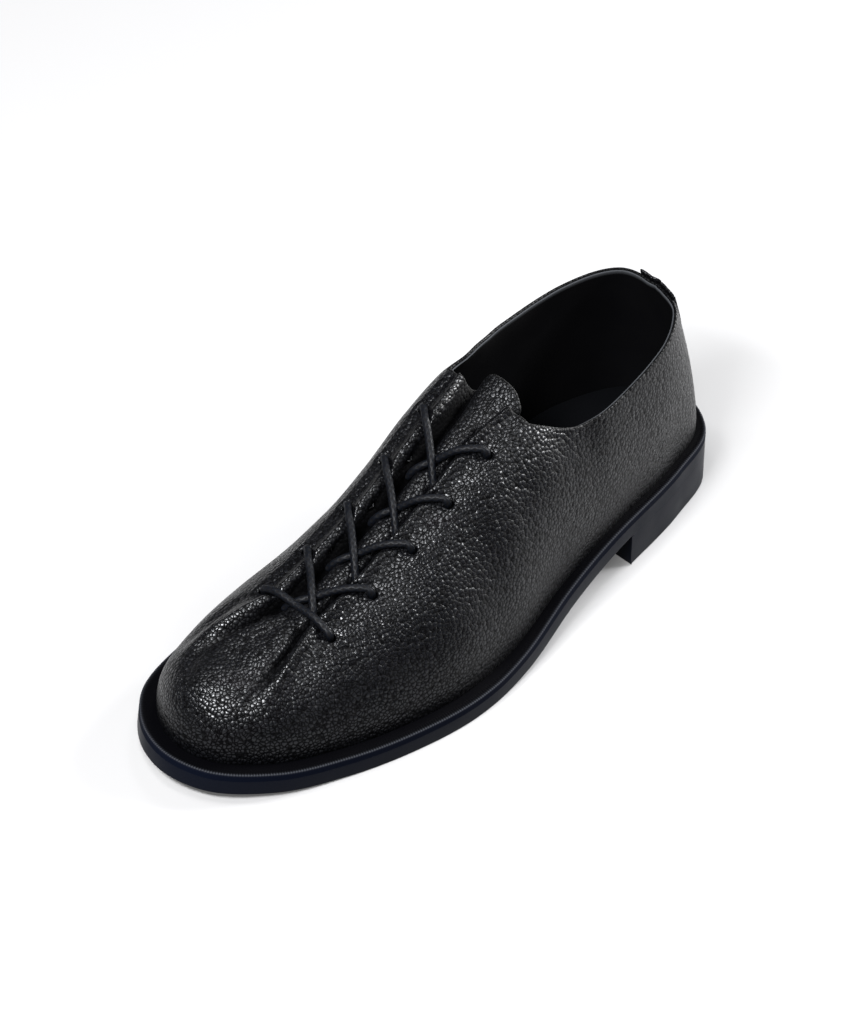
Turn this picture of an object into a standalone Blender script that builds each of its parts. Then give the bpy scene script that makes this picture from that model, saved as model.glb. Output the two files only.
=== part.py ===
"""Lace-up postman shoe for the left foot: welted sole, block heel and a hollow one-piece upper.

Lengths are in millimetres and are scaled to metres when a mesh is made.  "Along" runs from the
back of the heel to the toe, "across" is positive on the outer (lateral) side, height is up.
"""
import math

import bmesh
import bpy
import numpy as np

MM = 0.001

# Driving dimensions
LENGTH = 299.0
BALL_WIDTH = 105.8
HEEL_HEIGHT = 15.2
SOLE_HEIGHT = 9.7
WELT_HEIGHT = 3.2
WELT_CHAMFER = 0.7
TOE_SPRING = 5.5
BREAST_AT = 72.0
TREAD_BACK = 171.0
TREAD_FRONT = 222.0
WALL = 2.0
GAP = 0.3
INSOLE_RISE = 3.0
INSTEP_HEIGHT = 93.0
COLLAR_HEIGHT = 90.0
TOE_POLE = 262.0
HEEL_POLE = 36.0
POLE_SOFTNESS = 4.0
THROAT_AT = 118.5
EYELET_RADIUS = 1.9
LACE_RADIUS = 1.6
STRIP_WALL = 1.2
STRIP_RISE = 0.8
STRIP_HEIGHT = 24.0

# Fineness of the meshes
OUTLINE_STEPS = 28
SOLE_RUNGS = 46
END_TURN = 0.05
WALL_SAMPLES = 140
SHARE_STEP = 0.004
OFFSET_STEP = 0.4
CHORD_POWER = 0.75
EYELET_LINES = 3
CORD_SIDE = (1.0, 0.0, 0.3)

# Places across between which the welt's inner margin gives way to the outer one
WELT_BLEND = (-20.0, 10.0)

# Plain finishes: linear red, green, blue, then roughness
LEATHER = (0.010, 0.010, 0.011, 0.5)
RUBBER = (0.016, 0.017, 0.020, 0.45)
WELT_RUBBER = (0.016, 0.017, 0.020, 0.6)
CORD = (0.008, 0.009, 0.013, 0.4)
SOCK = (0.012, 0.012, 0.012, 0.8)

# Outsole edge, closed: along as a share of the length, across as a share of the ball width
OUTLINE = (
    ("heel back", 0.000, -0.076),
    ("heel corner, outer", 0.033, 0.123),
    ("heel side, outer", 0.119, 0.223),
    ("breast, outer", 0.251, 0.308),
    ("waist, outer", 0.385, 0.388),
    ("joint, outer", 0.502, 0.476),
    ("ball, outer", 0.619, 0.518),
    ("little toe", 0.719, 0.489),
    ("toe side, outer", 0.819, 0.420),
    ("toe turn, outer", 0.911, 0.321),
    ("toe corner, outer", 0.983, 0.148),
    ("toe tip", 1.000, -0.019),
    ("toe corner, inner", 0.987, -0.175),
    ("toe turn, inner", 0.933, -0.355),
    ("great toe", 0.836, -0.458),
    ("ball, inner", 0.742, -0.482),
    ("joint, inner", 0.652, -0.440),
    ("waist front, inner", 0.535, -0.378),
    ("waist, inner", 0.418, -0.364),
    ("breast, inner", 0.284, -0.397),
    ("heel side, inner", 0.151, -0.411),
    ("heel corner, inner", 0.040, -0.293),
)

# Width of the welt that shows outside the upper
MARGIN_COLUMNS = ("along", "outer", "inner")
MARGIN = (
    (0.0, 4.5, 4.5),
    (40.0, 4.0, 4.0),
    (90.0, 4.0, 3.5),
    (130.0, 5.0, 3.5),
    (170.0, 6.2, 4.5),
    (220.0, 6.2, 5.5),
    (299.0, 7.0, 7.0),
)

# Comb line of the last: height is a share of the instep height, and runs on above the collar
CREST_COLUMNS = ("along", "across", "height")
CREST = (
    (20.0, -15.0, 1.441),
    (45.0, -13.5, 1.484),
    (80.0, -11.5, 1.333),
    (92.0, -10.8, 1.204),
    (105.0, -10.2, 1.070),
    (118.0, -9.4, 1.012),
    (124.0, -8.6, 0.994),
    (137.0, -7.0, 0.965),
    (161.0, -5.0, 0.849),
    (183.0, -3.0, 0.742),
    (206.0, -1.5, 0.645),
    (230.0, -0.5, 0.565),
    (250.0, -1.0, 0.505),
    (266.0, -2.0, 0.446),
    (285.0, -3.0, 0.355),
)

# Cross sections of the last: full is the power of the rounded section, swell its side bulge
SECTION_COLUMNS = ("along", "full outer", "full inner", "swell outer", "swell inner")
SECTION = (
    (6.0, 1.18, 1.18, 2.4, 2.4),
    (20.0, 1.46, 1.72, 1.9, 2.2),
    (40.0, 1.85, 2.10, 1.2, 2.0),
    (90.0, 1.85, 2.30, 1.5, 4.5),
    (105.0, 2.25, 2.90, 0.3, 5.5),
    (118.0, 2.60, 3.60, -0.8, 6.5),
    (137.0, 2.10, 2.80, 1.0, 7.5),
    (161.0, 1.95, 2.35, 1.5, 6.0),
    (183.0, 1.98, 2.10, 1.2, 3.5),
    (220.0, 2.05, 1.95, 0.5, 1.0),
    (260.0, 2.10, 2.05, 0.5, 0.5),
    (288.0, 2.25, 2.25, 0.5, 0.5),
)

# Collar edge as a share of the collar height
COLLAR_COLUMNS = ("along", "outer", "inner")
COLLAR = (
    (0.0, 1.010, 1.010),
    (20.0, 0.995, 1.030),
    (40.0, 0.956, 1.020),
    (60.0, 0.922, 1.008),
    (80.0, 0.897, 1.008),
    (92.0, 0.893, 1.012),
    (102.0, 0.918, 1.020),
    (110.0, 0.958, 1.030),
    (119.0, 1.000, 1.040),
)

# Long pleats of the vamp at places along: offset from the comb line, rise off the last, and how far
# each runs on past the throat
FOLD_ALONG = (256.0, 242.0, 229.0, 137.0, 112.0)
FOLDS = (
    ("roll top", (0.0, 0.0, 0.0, 0.0, 0.0), (0.0, -1.5, -4.4, -7.0, -4.2), 9.5),
    ("roll shoulder", (5.5, 4.4, 3.2, 3.0, 5.0), (0.0, -1.2, -4.4, -7.1, -4.5), 9.3),
    ("roll side", (11.0, 8.2, 5.7, 5.2, 9.5), (0.0, -1.2, -4.6, -7.8, -5.6), 8.5),
    ("groove wall, roll side", (15.0, 11.2, 7.6, 7.0, 12.0), (0.0, -1.8, -5.1, -9.2, -7.4), 6.5),
    ("groove floor", (16.5, 12.4, 8.9, 8.0, 12.9), (0.0, -2.4, -5.5, -10.0, -8.4), 3.0),
    ("groove wall, ridge side", (17.6, 13.5, 10.0, 9.0, 13.6), (0.0, -1.4, -4.1, -7.9, -6.4), 0.8),
    ("ridge side", (18.6, 14.6, 11.1, 10.3, 14.4), (0.0, -0.2, -1.7, -3.7, -2.4), 0.0),
    ("ridge top", (19.6, 15.8, 12.6, 12.0, 15.8), (0.0, 0.3, -0.8, -2.2, -0.9), 0.0),
    ("ridge back", (20.4, 17.4, 15.4, 15.0, 18.2), (0.0, 0.1, -0.6, -1.4, -0.5), 0.0),
    ("eyelet front", (21.2, 19.2, 17.9, 17.8, 20.2), (0.0, 0.0, -0.3, -0.7, -0.2), 0.0),
    ("eyelet line", (22.0, 21.0, 20.4, 20.4, 22.0), (0.0, 0.0, 0.0, 0.0, 0.0), 0.0),
    ("fold edge", (24.5, 24.0, 23.4, 23.0, 24.6), (0.0, 0.0, 0.0, 0.0, 0.0), 0.0),
)
EYELET_FOLD = 10
EYELET_OFFSET = 20.4
EYELET_ROWS = (229.5, 206.0, 183.0, 161.0, 137.5)
EYELET_PITCH = 3.6
ROW_STEPS = (8.4, 14.6)
THROAT_STEPS = (9.0, 14.5)
CORNER_BLEND = 14.0
SIDE_STEPS = 8
TOE_LINES = 11
QUARTER_LINES = 20
HEEL_CROWDING = 1.35

# Places a lace bears on: offset from the comb line and clearance of its middle above the leather
CROSS_BEARINGS = (
    (-19.3, 2.1),
    (-15.6, 2.2),
    (-12.2, 2.1),
    (0.0, 2.7),
    (4.5, 2.3),
)
BAR_BEARINGS = (
    (-19.3, 2.1),
    (-15.6, 2.2),
    (-12.6, 2.1),
    (0.0, 2.6),
    (12.6, 2.1),
    (15.6, 2.2),
    (19.3, 2.1),
)
LACE_SIDES = 8
LACE_STEPS = 13

# Back strip: width either side of the heel line and lower edge, by share of the way down
STRIP_COLUMNS = ("down", "half width")
STRIP = (
    (0.0, 16.0),
    (0.55, 13.5),
    (0.85, 10.5),
    (1.0, 7.0),
)
STRIP_ROWS = 7
STRIP_HALF_LINES = 5

OUTER = 1
INNER = -1
SIDES = ((OUTER, "outer"), (INNER, "inner"))


def tangents(values, steps):
    """Slopes for a smooth curve through rows that are unevenly spaced."""
    slope = np.diff(values, axis=0) / steps[:, None]
    out = np.zeros_like(values)
    before = steps[:-1, None]
    after = steps[1:, None]
    out[1:-1] = (slope[:-1] * after + slope[1:] * before) / (before + after)
    out[0] = slope[0]
    out[-1] = slope[-1]
    return out


def hermite(share, step, start, end, start_slope, end_slope):
    """Cubic between two rows."""
    square = share * share
    cube = square * share
    value = (2 * cube - 3 * square + 1) * start + (3 * square - 2 * cube) * end
    return value + step * ((cube - 2 * square + share) * start_slope + (cube - square) * end_slope)


def closed_curve(points, per_step):
    """Smooth closed curve through the points, sampled evenly between them."""
    count = len(points)
    ring = np.vstack([points[-2:], points, points[:3]])
    steps = np.linalg.norm(np.diff(ring, axis=0), axis=1) ** CHORD_POWER
    slopes = tangents(ring, steps)
    shares = np.linspace(0.0, 1.0, per_step, endpoint=False)[:, None]
    parts = []
    for i in range(2, count + 2):
        parts.append(hermite(shares, steps[i], ring[i], ring[i + 1], slopes[i], slopes[i + 1]))
    return np.vstack(parts)


def column(table, names, name, key):
    """A column of a table at a key, smooth and with no overshoot between its rows."""
    at = names.index(name)
    rows = np.array([[row[0], row[at]] for row in table])
    keys, values = rows[:, 0], rows[:, 1]
    steps = np.diff(keys)
    slope = np.diff(values) / steps
    bend = np.zeros_like(values)
    for i in range(1, len(keys) - 1):
        if slope[i - 1] * slope[i] > 0:
            bend[i] = 2.0 * slope[i - 1] * slope[i] / (slope[i - 1] + slope[i])
    bend[0] = slope[0]
    bend[-1] = slope[-1]
    key = np.clip(key, keys[0], keys[-1])
    i = np.clip(np.searchsorted(keys, key, side="right") - 1, 0, len(steps) - 1)
    return hermite((key - keys[i]) / steps[i], steps[i], values[i], values[i + 1], bend[i], bend[i + 1])


def smooth_step(value, start, end):
    share = np.clip((value - start) / (end - start), 0.0, 1.0)
    return share * share * (3.0 - 2.0 * share)


def arc_lengths(line):
    return np.concatenate([[0.0], np.cumsum(np.linalg.norm(np.diff(line, axis=0), axis=1))])


def sample(keys, line, at):
    return np.stack([np.interp(at, keys, line[:, k]) for k in range(line.shape[1])], -1)


def unit(vectors):
    return vectors / np.linalg.norm(vectors, axis=-1, keepdims=True)


# Forms of the sole

def sole_bottom(along):
    """Underside of the outsole: heel seat, arch, flat tread, toe spring."""
    arch = HEEL_HEIGHT * (1.0 - smooth_step(along, BREAST_AT, TREAD_BACK))
    spring = np.clip((along - TREAD_FRONT) / (LENGTH - TREAD_FRONT), 0.0, None)
    return arch + TOE_SPRING * spring * spring


def on_sole(plan, rise):
    """Points of a plan raised off the underside, square to its slope."""
    along = plan[:, 0]
    slope = sole_bottom(along + 0.5) - sole_bottom(along - 0.5)
    return np.stack([along - rise * slope, plan[:, 1], sole_bottom(along) + rise], -1)


def sole_outline():
    rows = np.array([(along * LENGTH, across * BALL_WIDTH) for _, along, across in OUTLINE])
    return closed_curve(rows, OUTLINE_STEPS)


def drawn_in(outline, width):
    """The outline moved inward by a width that may change along it."""
    run = np.roll(outline, -1, 0) - np.roll(outline, 1, 0)
    inward = unit(np.stack([run[:, 1], -run[:, 0]], -1))
    return outline + inward * np.reshape(width, (-1, 1))


def welt_width(plan):
    """Width of the welt that shows beside points of the sole's edge."""
    outer = column(MARGIN, MARGIN_COLUMNS, "outer", plan[:, 0])
    inner = column(MARGIN, MARGIN_COLUMNS, "inner", plan[:, 0])
    share = smooth_step(plan[:, 1], *WELT_BLEND)
    return outer * share + inner * (1.0 - share)


def feather_outline(extra):
    """Foot of the upper on the welt, drawn in by a further amount."""
    outline = sole_outline()
    return drawn_in(outline, welt_width(outline) + extra)


def halves(outline):
    """An outline as two lines from toe to heel: outer side, inner side."""
    ring = np.roll(outline, -int(outline[:, 0].argmin()), 0)
    toe = int(ring[:, 0].argmax())
    return ring[: toe + 1][::-1], np.vstack([ring[toe:], ring[:1]])


# Forms of the upper

def comb_place(along):
    """Place on the comb line reached by a wall line that starts at this place along."""
    low = HEEL_POLE + POLE_SOFTNESS * np.logaddexp(0.0, (along - HEEL_POLE) / POLE_SOFTNESS)
    return TOE_POLE - POLE_SOFTNESS * np.logaddexp(0.0, (TOE_POLE - low) / POLE_SOFTNESS)


def comb_point(place):
    across = column(CREST, CREST_COLUMNS, "across", place)
    height = column(CREST, CREST_COLUMNS, "height", place) * INSTEP_HEIGHT
    return np.array([place, across, height])


def comb_normal(place):
    run = comb_point(place + 0.5) - comb_point(place - 0.5)
    return unit(np.array([-run[2], 0.0, run[0]]))


FEATHER = {}
for (feather_side, _), feather_line in zip(SIDES, halves(feather_outline(0.0))):
    FEATHER[feather_side] = (arc_lengths(feather_line), feather_line)
TURN = np.linspace(0.0, 0.5 * math.pi, WALL_SAMPLES)


def wall_line(side, share):
    """One line of the last from the comb line down to the welt; share is 0 at toe, 1 at heel."""
    word = dict(SIDES)[side]
    keys, line = FEATHER[side]
    foot = on_sole(sample(keys, line, np.array([share * keys[-1]])), SOLE_HEIGHT + GAP)[0]
    power = 2.0 / column(SECTION, SECTION_COLUMNS, "full " + word, foot[0])
    swell = column(SECTION, SECTION_COLUMNS, "swell " + word, foot[0])
    reach = comb_point(comb_place(foot[0])) - foot
    across = 1.0 - np.cos(TURN) ** power - swell * np.sin(2.0 * TURN) / np.linalg.norm(reach[:2])
    points = np.empty((WALL_SAMPLES, 3))
    points[:, :2] = foot[:2] + reach[:2] * across[:, None]
    points[:, 2] = foot[2] + reach[2] * np.sin(TURN) ** power
    return points[::-1]


def on_last(side, share, offsets):
    line = wall_line(side, share)
    return sample(arc_lengths(line), line, offsets)


def last_normals(side, share, offsets):
    """Outward directions of the last along one wall line."""
    if share < SHARE_STEP:
        run = on_last(OUTER, SHARE_STEP, offsets) - on_last(INNER, SHARE_STEP, offsets)
        turn = -1.0
        side = OUTER
    elif share > 1.0 - SHARE_STEP:
        run = on_last(INNER, 1.0 - SHARE_STEP, offsets) - on_last(OUTER, 1.0 - SHARE_STEP, offsets)
        turn = -1.0
        side = OUTER
    else:
        run = on_last(side, share + SHARE_STEP, offsets) - on_last(side, share - SHARE_STEP, offsets)
        turn = -float(side)
    down = on_last(side, share, offsets + OFFSET_STEP) - on_last(side, share, offsets - OFFSET_STEP)
    normal = turn * np.cross(run, down)
    near_comb = offsets < OFFSET_STEP
    if near_comb.any():
        normal[near_comb] = comb_normal(on_last(side, share, np.zeros(1))[0, 0])
    return unit(normal)


def share_at(side, along):
    """Share of the wall line whose foot is at a place along."""
    keys, line = FEATHER[side]
    foot = on_sole(line, SOLE_HEIGHT + GAP)
    return np.interp(-np.asarray(along), -foot[:, 0], keys / keys[-1])


def fold_profile(along):
    """Offsets and rises of the folds at a place along the vamp."""
    places = -np.array(FOLD_ALONG)
    offsets = np.array([np.interp(-along, places, fold[1]) for fold in FOLDS])
    rises = np.array([np.interp(-along, places, fold[2]) for fold in FOLDS])
    return offsets, rises


def collar_offset(side, share):
    """How far below the comb line the collar edge lies on a quarter's wall line."""
    word = dict(SIDES)[side]
    line = wall_line(side, share)
    along = line[-1, 0]
    height = COLLAR_HEIGHT * column(COLLAR, COLLAR_COLUMNS, word, along)
    corner_share = float(share_at(side, THROAT_AT))
    corner = on_last(side, corner_share, np.array([fold_profile(THROAT_AT)[0][-1]]))[0, 2]
    meant = COLLAR_HEIGHT * column(COLLAR, COLLAR_COLUMNS, word, THROAT_AT)
    height += (corner - meant) * (1.0 - smooth_step(THROAT_AT - along, 0.0, CORNER_BLEND))
    return float(np.interp(-height, -line[:, 2], arc_lengths(line)))


def vamp_places():
    """Places along of the wall lines from the first eyelet row to the throat."""
    places = []
    for row in EYELET_ROWS:
        places.extend((row + EYELET_PITCH, row, row - EYELET_PITCH))
        steps = THROAT_STEPS if row == EYELET_ROWS[-1] else ROW_STEPS
        places.extend(row - step for step in steps)
    return places + [THROAT_AT]


# Meshes

def make_object(name, points, faces, finish):
    """A named solid from points in millimetres, set about the middle of the sole."""
    outline = sole_outline()
    middle = 0.5 * (outline.min(0) + outline.max(0))
    placed = (np.asarray(points) - np.array([middle[0], middle[1], 0.0])) * MM
    mesh = bpy.data.meshes.new(name)
    mesh.from_pydata(placed.tolist(), [], [list(face) for face in faces])
    work = bmesh.new()
    work.from_mesh(mesh)
    bmesh.ops.recalc_face_normals(work, faces=work.faces)
    work.to_mesh(mesh)
    work.free()
    material = bpy.data.materials.new(name)
    material.use_nodes = True
    shader = material.node_tree.nodes["Principled BSDF"]
    shader.inputs["Base Color"].default_value = (*finish[:3], 1.0)
    shader.inputs["Roughness"].default_value = finish[3]
    mesh.materials.append(material)
    obj = bpy.data.objects.new(name, mesh)
    bpy.context.scene.collection.objects.link(obj)
    return obj


def rungs(outline, count):
    """Places along, crowded toward toe and heel, and the two edges there."""
    back, front = outline[:, 0].min(), outline[:, 0].max()
    turn = np.linspace(END_TURN, math.pi - END_TURN, count)
    places = 0.5 * (front + back) + 0.5 * (front - back) * np.cos(turn)
    return places, edges_at(outline, places)


def edges_at(outline, places):
    return [np.interp(-places, -line[:, 0], line[:, 1]) for line in halves(outline)]


def slab(name, places, edges, lower, upper, finish):
    """A plate between two surfaces, cut across at the given places from front to back."""
    count = len(places)
    points = []
    for surface in (lower, upper):
        for across in edges:
            points.append(surface(np.stack([places, across], -1)))
    faces = []
    for k in range(count - 1):
        a, b, c, d = (k + count * part for part in range(4))
        faces.extend(((a, a + 1, b + 1, b), (c, d, d + 1, c + 1)))
        faces.extend(((a, c, c + 1, a + 1), (b, b + 1, d + 1, d)))
    for k in (0, count - 1):
        faces.append((k, k + count, k + 3 * count, k + 2 * count))
    return make_object(name, np.vstack(points), faces, finish)


def level(height):
    return lambda plan: np.column_stack([plan, np.full(len(plan), height)])


def raised(rise):
    return lambda plan: on_sole(plan, rise)


def build_sole():
    outline = sole_outline()
    places, edges = rungs(outline, SOLE_RUNGS)
    slab("outsole", places, edges, raised(0.0), raised(SOLE_HEIGHT - WELT_HEIGHT - GAP), RUBBER)

    behind = places < BREAST_AT
    heel_places = np.concatenate([[BREAST_AT], places[behind]])
    heel_edges = edges_at(outline, heel_places)
    slab("heel", heel_places, heel_edges, level(0.0), level(HEEL_HEIGHT - GAP), RUBBER)

    loop = np.vstack([np.stack([places, edges[0]], -1)[::-1], np.stack([places, edges[1]], -1)])
    width = welt_width(loop)
    chamfer = drawn_in(loop, np.full(len(loop), WELT_CHAMFER))
    inside = drawn_in(loop, width + WALL)
    loops = (
        on_sole(loop, SOLE_HEIGHT - WELT_HEIGHT),
        on_sole(loop, SOLE_HEIGHT - WELT_CHAMFER),
        on_sole(chamfer, SOLE_HEIGHT),
        on_sole(inside, SOLE_HEIGHT),
        on_sole(inside, SOLE_HEIGHT - WELT_HEIGHT),
    )
    count = len(loop)
    faces = []
    for a in range(len(loops)):
        b = (a + 1) % len(loops)
        for k in range(count):
            n = (k + 1) % count
            faces.append((a * count + k, a * count + n, b * count + n, b * count + k))
    make_object("welt", np.vstack(loops), faces, WELT_RUBBER)

    places, edges = rungs(feather_outline(WALL + GAP), SOLE_RUNGS)
    low = SOLE_HEIGHT - WELT_HEIGHT
    slab("insole", places, edges, raised(low), raised(SOLE_HEIGHT + INSOLE_RISE), SOCK)


class Shell:
    """Points of the upper's outer and inner faces, kept under the place they have in its grid."""

    def __init__(self):
        self.index = {}
        self.outer = []
        self.inner = []

    def add(self, key, point, normal, rise):
        if key not in self.index:
            self.index[key] = len(self.outer)
            self.outer.append(point + normal * rise)
            self.inner.append(point + normal * (rise - WALL))
        return self.index[key]

    def add_between(self, key, start, end, share):
        if key not in self.index:
            self.index[key] = len(self.outer)
            self.outer.append(self.outer[start] * (1.0 - share) + self.outer[end] * share)
            self.inner.append(self.inner[start] * (1.0 - share) + self.inner[end] * share)
        return self.index[key]

    def solid(self, faces):
        """Both faces and the rims that join them along every open edge."""
        count = len(self.outer)
        joined = list(faces) + [tuple(count + v for v in reversed(face)) for face in faces]
        uses = {}
        for face in faces:
            for a, b in zip(face, face[1:] + face[:1]):
                uses.setdefault(frozenset((a, b)), []).append((a, b))
        for edges in uses.values():
            if len(edges) == 1:
                a, b = edges[0]
                joined.append((b, a, count + a, count + b))
        return np.vstack([self.outer, self.inner]), joined


def upper_lines(side):
    """Shares of the wall lines of one side and how many of them reach the comb line."""
    rows = share_at(side, vamp_places())
    lead = share_at(OUTER, vamp_places()[0]) * np.linspace(0.0, 1.0, TOE_LINES, endpoint=False)
    if side == OUTER:
        toe = lead
    else:
        keys, line = FEATHER[OUTER]
        feet = on_sole(sample(keys, line, lead * keys[-1]), SOLE_HEIGHT + GAP)
        toe = share_at(INNER, feet[:, 0])
        toe[0] = 0.0
    run = 1.0 - (1.0 - np.linspace(0.0, 1.0, QUARTER_LINES + 1)[1:]) ** HEEL_CROWDING
    quarter = rows[-1] + (1.0 - rows[-1]) * run
    return np.concatenate([toe, rows, quarter]), TOE_LINES + len(rows)


def build_upper():
    shell = Shell()
    faces = []
    folds = len(FOLDS)
    for side, _ in SIDES:
        shares, vamp = upper_lines(side)
        grid = []
        for i, share in enumerate(shares):
            mirror = 0 if i in (0, len(shares) - 1) else side
            line = wall_line(side, share)
            end = arc_lengths(line)[-1]
            if i < vamp:
                offsets, rises = fold_profile(comb_place(line[-1, 0]) if i else TOE_POLE)
                lower = np.linspace(offsets[-1], end, SIDE_STEPS + 1)[1:]
                offsets = np.concatenate([offsets, lower])
                rises = np.concatenate([rises, np.zeros(SIDE_STEPS)])
                keys = [("comb", i)] + [(mirror, i, j) for j in range(1, folds + SIDE_STEPS)]
            else:
                offsets = np.linspace(collar_offset(side, share), end, SIDE_STEPS + 1)
                rises = np.zeros(SIDE_STEPS + 1)
                keys = [(mirror, i, j) for j in range(folds - 1, folds + SIDE_STEPS)]
            points = on_last(side, share, offsets)
            normals = last_normals(side, share, offsets)
            if i == vamp - 1:
                points, normals, rises = throat_edge(side, points, normals, rises)
            grid.append([shell.add(*row) for row in zip(keys, points, normals, rises)])
        eyelets = [TOE_LINES + 1 + k * (EYELET_LINES + len(ROW_STEPS)) for k in range(len(EYELET_ROWS))]
        for i in range(len(shares) - 1):
            here, there = grid[i], grid[i + 1]
            drop = (folds - 1 if i >= vamp else 0, folds - 1 if i + 1 >= vamp else 0)
            for j in range(folds - 1 if i + 1 >= vamp else 0, folds + SIDE_STEPS - 1):
                if j in (EYELET_FOLD - 1, EYELET_FOLD) and (i in eyelets or i + 1 in eyelets):
                    continue
                a, b = here[j - drop[0]], here[j + 1 - drop[0]]
                c, d = there[j + 1 - drop[1]], there[j - drop[1]]
                faces.append((a, b, c, d) if side == OUTER else (d, c, b, a))
        for i in eyelets:
            faces.extend(eyelet_faces(shell, grid, i, side))
    points, joined = shell.solid(faces)
    make_object("upper", points, joined, LEATHER)


def throat_edge(side, points, normals, rises):
    """The wall line at the throat, with the roll running on past the ridges."""
    for j, fold in enumerate(FOLDS):
        along = THROAT_AT - fold[3]
        offsets, heights = fold_profile(along)
        share = float(share_at(side, along))
        points[j] = on_last(side, share, offsets[j : j + 1])[0]
        normals[j] = last_normals(side, share, offsets[j : j + 1])[0]
        rises[j] = heights[j]
    return points, normals, rises


def eyelet_faces(shell, grid, i, side):
    """Ring of faces round one punched hole."""
    around = ((-1, -1), (0, -1), (1, -1), (1, 0), (1, 1), (0, 1), (-1, 1), (-1, 0))
    centre = grid[i][EYELET_FOLD]
    ring = [grid[i + down][EYELET_FOLD + over] for down, over in around]
    rim = []
    for vertex in ring:
        reach = np.linalg.norm(shell.outer[vertex] - shell.outer[centre])
        rim.append(shell.add_between(("rim", centre, vertex), centre, vertex, EYELET_RADIUS / reach))
    faces = []
    for k in range(len(ring)):
        n = (k + 1) % len(ring)
        face = (ring[k], rim[k], rim[n], ring[n])
        faces.append(face if side == OUTER else face[::-1])
    return faces


def build_back_strip():
    """Small strip over the top of the back seam."""
    share_per_mm = {side: 1.0 / FEATHER[side][0][-1] for side, _ in SIDES}
    outer, inner = [], []
    columns = range(-STRIP_HALF_LINES, STRIP_HALF_LINES + 1)
    for row in range(STRIP_ROWS + 1):
        down = row / STRIP_ROWS
        half = column(STRIP, STRIP_COLUMNS, "half width", down)
        for line in columns:
            side = OUTER if line < 0 else INNER
            share = 1.0 - abs(line) / STRIP_HALF_LINES * half * share_per_mm[side]
            offset = np.array([collar_offset(side, share) - STRIP_RISE + down * STRIP_HEIGHT])
            point = on_last(side, share, offset)[0]
            normal = last_normals(side, share, offset)[0]
            outer.append(point + normal * (GAP + STRIP_WALL))
            inner.append(point + normal * GAP)
    shell = Shell()
    shell.outer, shell.inner = outer, inner
    wide = len(columns)
    faces = []
    for row in range(STRIP_ROWS):
        for k in range(wide - 1):
            a = row * wide + k
            faces.append((a, a + 1, a + 1 + wide, a + wide))
    points, joined = shell.solid(faces)
    make_object("back_strip", points, joined, LEATHER)


# Laces

def on_vamp(side, along, offset, clear):
    """A point clear of the folded leather."""
    share = float(share_at(side, along))
    place = np.array([offset])
    rise = np.interp(offset, *fold_profile(along)) + clear
    return on_last(side, share, place)[0] + last_normals(side, share, place)[0] * rise


def lace_path(start, end, bearings, flip):
    """Middle of a lace from one eyelet row toward another, over the places it bears on."""
    reach = EYELET_OFFSET
    points = []
    for offset, clear in bearings:
        along = start + (end - start) * (offset + reach) / (2.0 * reach)
        side = OUTER if flip * offset > 0 else INNER
        points.append(on_vamp(side, along, abs(offset), clear))
    points = np.array(points)
    keys = arc_lengths(points)
    steps = np.diff(keys)
    slopes = tangents(points, steps)
    path = []
    for key in np.linspace(0.0, keys[-1], LACE_STEPS):
        i = min(int(np.searchsorted(keys, key, side="right")) - 1, len(steps) - 1)
        share = (key - keys[i]) / steps[i]
        path.append(hermite(share, steps[i], points[i], points[i + 1], slopes[i], slopes[i + 1]))
    return np.array(path)


def tube(path, radius, sides):
    """Points and faces of a round cord along a path."""
    run = unit(np.gradient(path, axis=0))
    over = unit(np.cross(run, np.array(CORD_SIDE)))
    up = np.cross(over, run)
    turn = np.linspace(0.0, 2.0 * math.pi, sides, endpoint=False)
    spokes = np.cos(turn)[None, :, None] * over[:, None] + np.sin(turn)[None, :, None] * up[:, None]
    rings = path[:, None] + radius * spokes
    count = len(path)
    faces = []
    for a in range(count - 1):
        for k in range(sides):
            n = (k + 1) % sides
            faces.append((a * sides + k, a * sides + n, (a + 1) * sides + n, (a + 1) * sides + k))
    faces.append(tuple(range(sides))[::-1])
    faces.append(tuple((count - 1) * sides + k for k in range(sides)))
    return rings.reshape(-1, 3), faces


def build_laces():
    first = EYELET_ROWS[0]
    points, faces = tube(lace_path(first, first, BAR_BEARINGS, 1.0), LACE_RADIUS, LACE_SIDES)
    make_object("lace_bar", points, faces, CORD)
    for k, (low, high) in enumerate(zip(EYELET_ROWS, EYELET_ROWS[1:]), 1):
        name = "lace_cross_%d" % k
        points, faces = tube(lace_path(high, low, CROSS_BEARINGS, -1.0), LACE_RADIUS, LACE_SIDES)
        strand = make_object(name + "_over", points, faces, CORD)
        points, faces = tube(lace_path(high, low, CROSS_BEARINGS, 1.0), LACE_RADIUS, LACE_SIDES)
        cross = make_object(name, points, faces, CORD)
        join = cross.modifiers.new("join", "BOOLEAN")
        join.operation = "UNION"
        join.solver = "EXACT"
        join.object = strand
        strand.hide_render = True
        strand.display_type = "WIRE"


def main():
    for obj in list(bpy.data.objects):
        bpy.data.objects.remove(obj, do_unlink=True)
    build_sole()
    build_upper()
    build_back_strip()
    build_laces()


main()
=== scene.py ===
"""Looks of the left postman shoe: pebbled leather, pleats, punched eyelets, laces, wheeled welt.

Shapes are worked out in millimetres, from the heel's back forward, and set in the frame in metres.
"Along" runs from heel to toe, "across" is positive on the outer side.
"""
import math

import bpy
import numpy as np
from mathutils import Matrix, Vector
from mathutils.kdtree import KDTree


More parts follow.
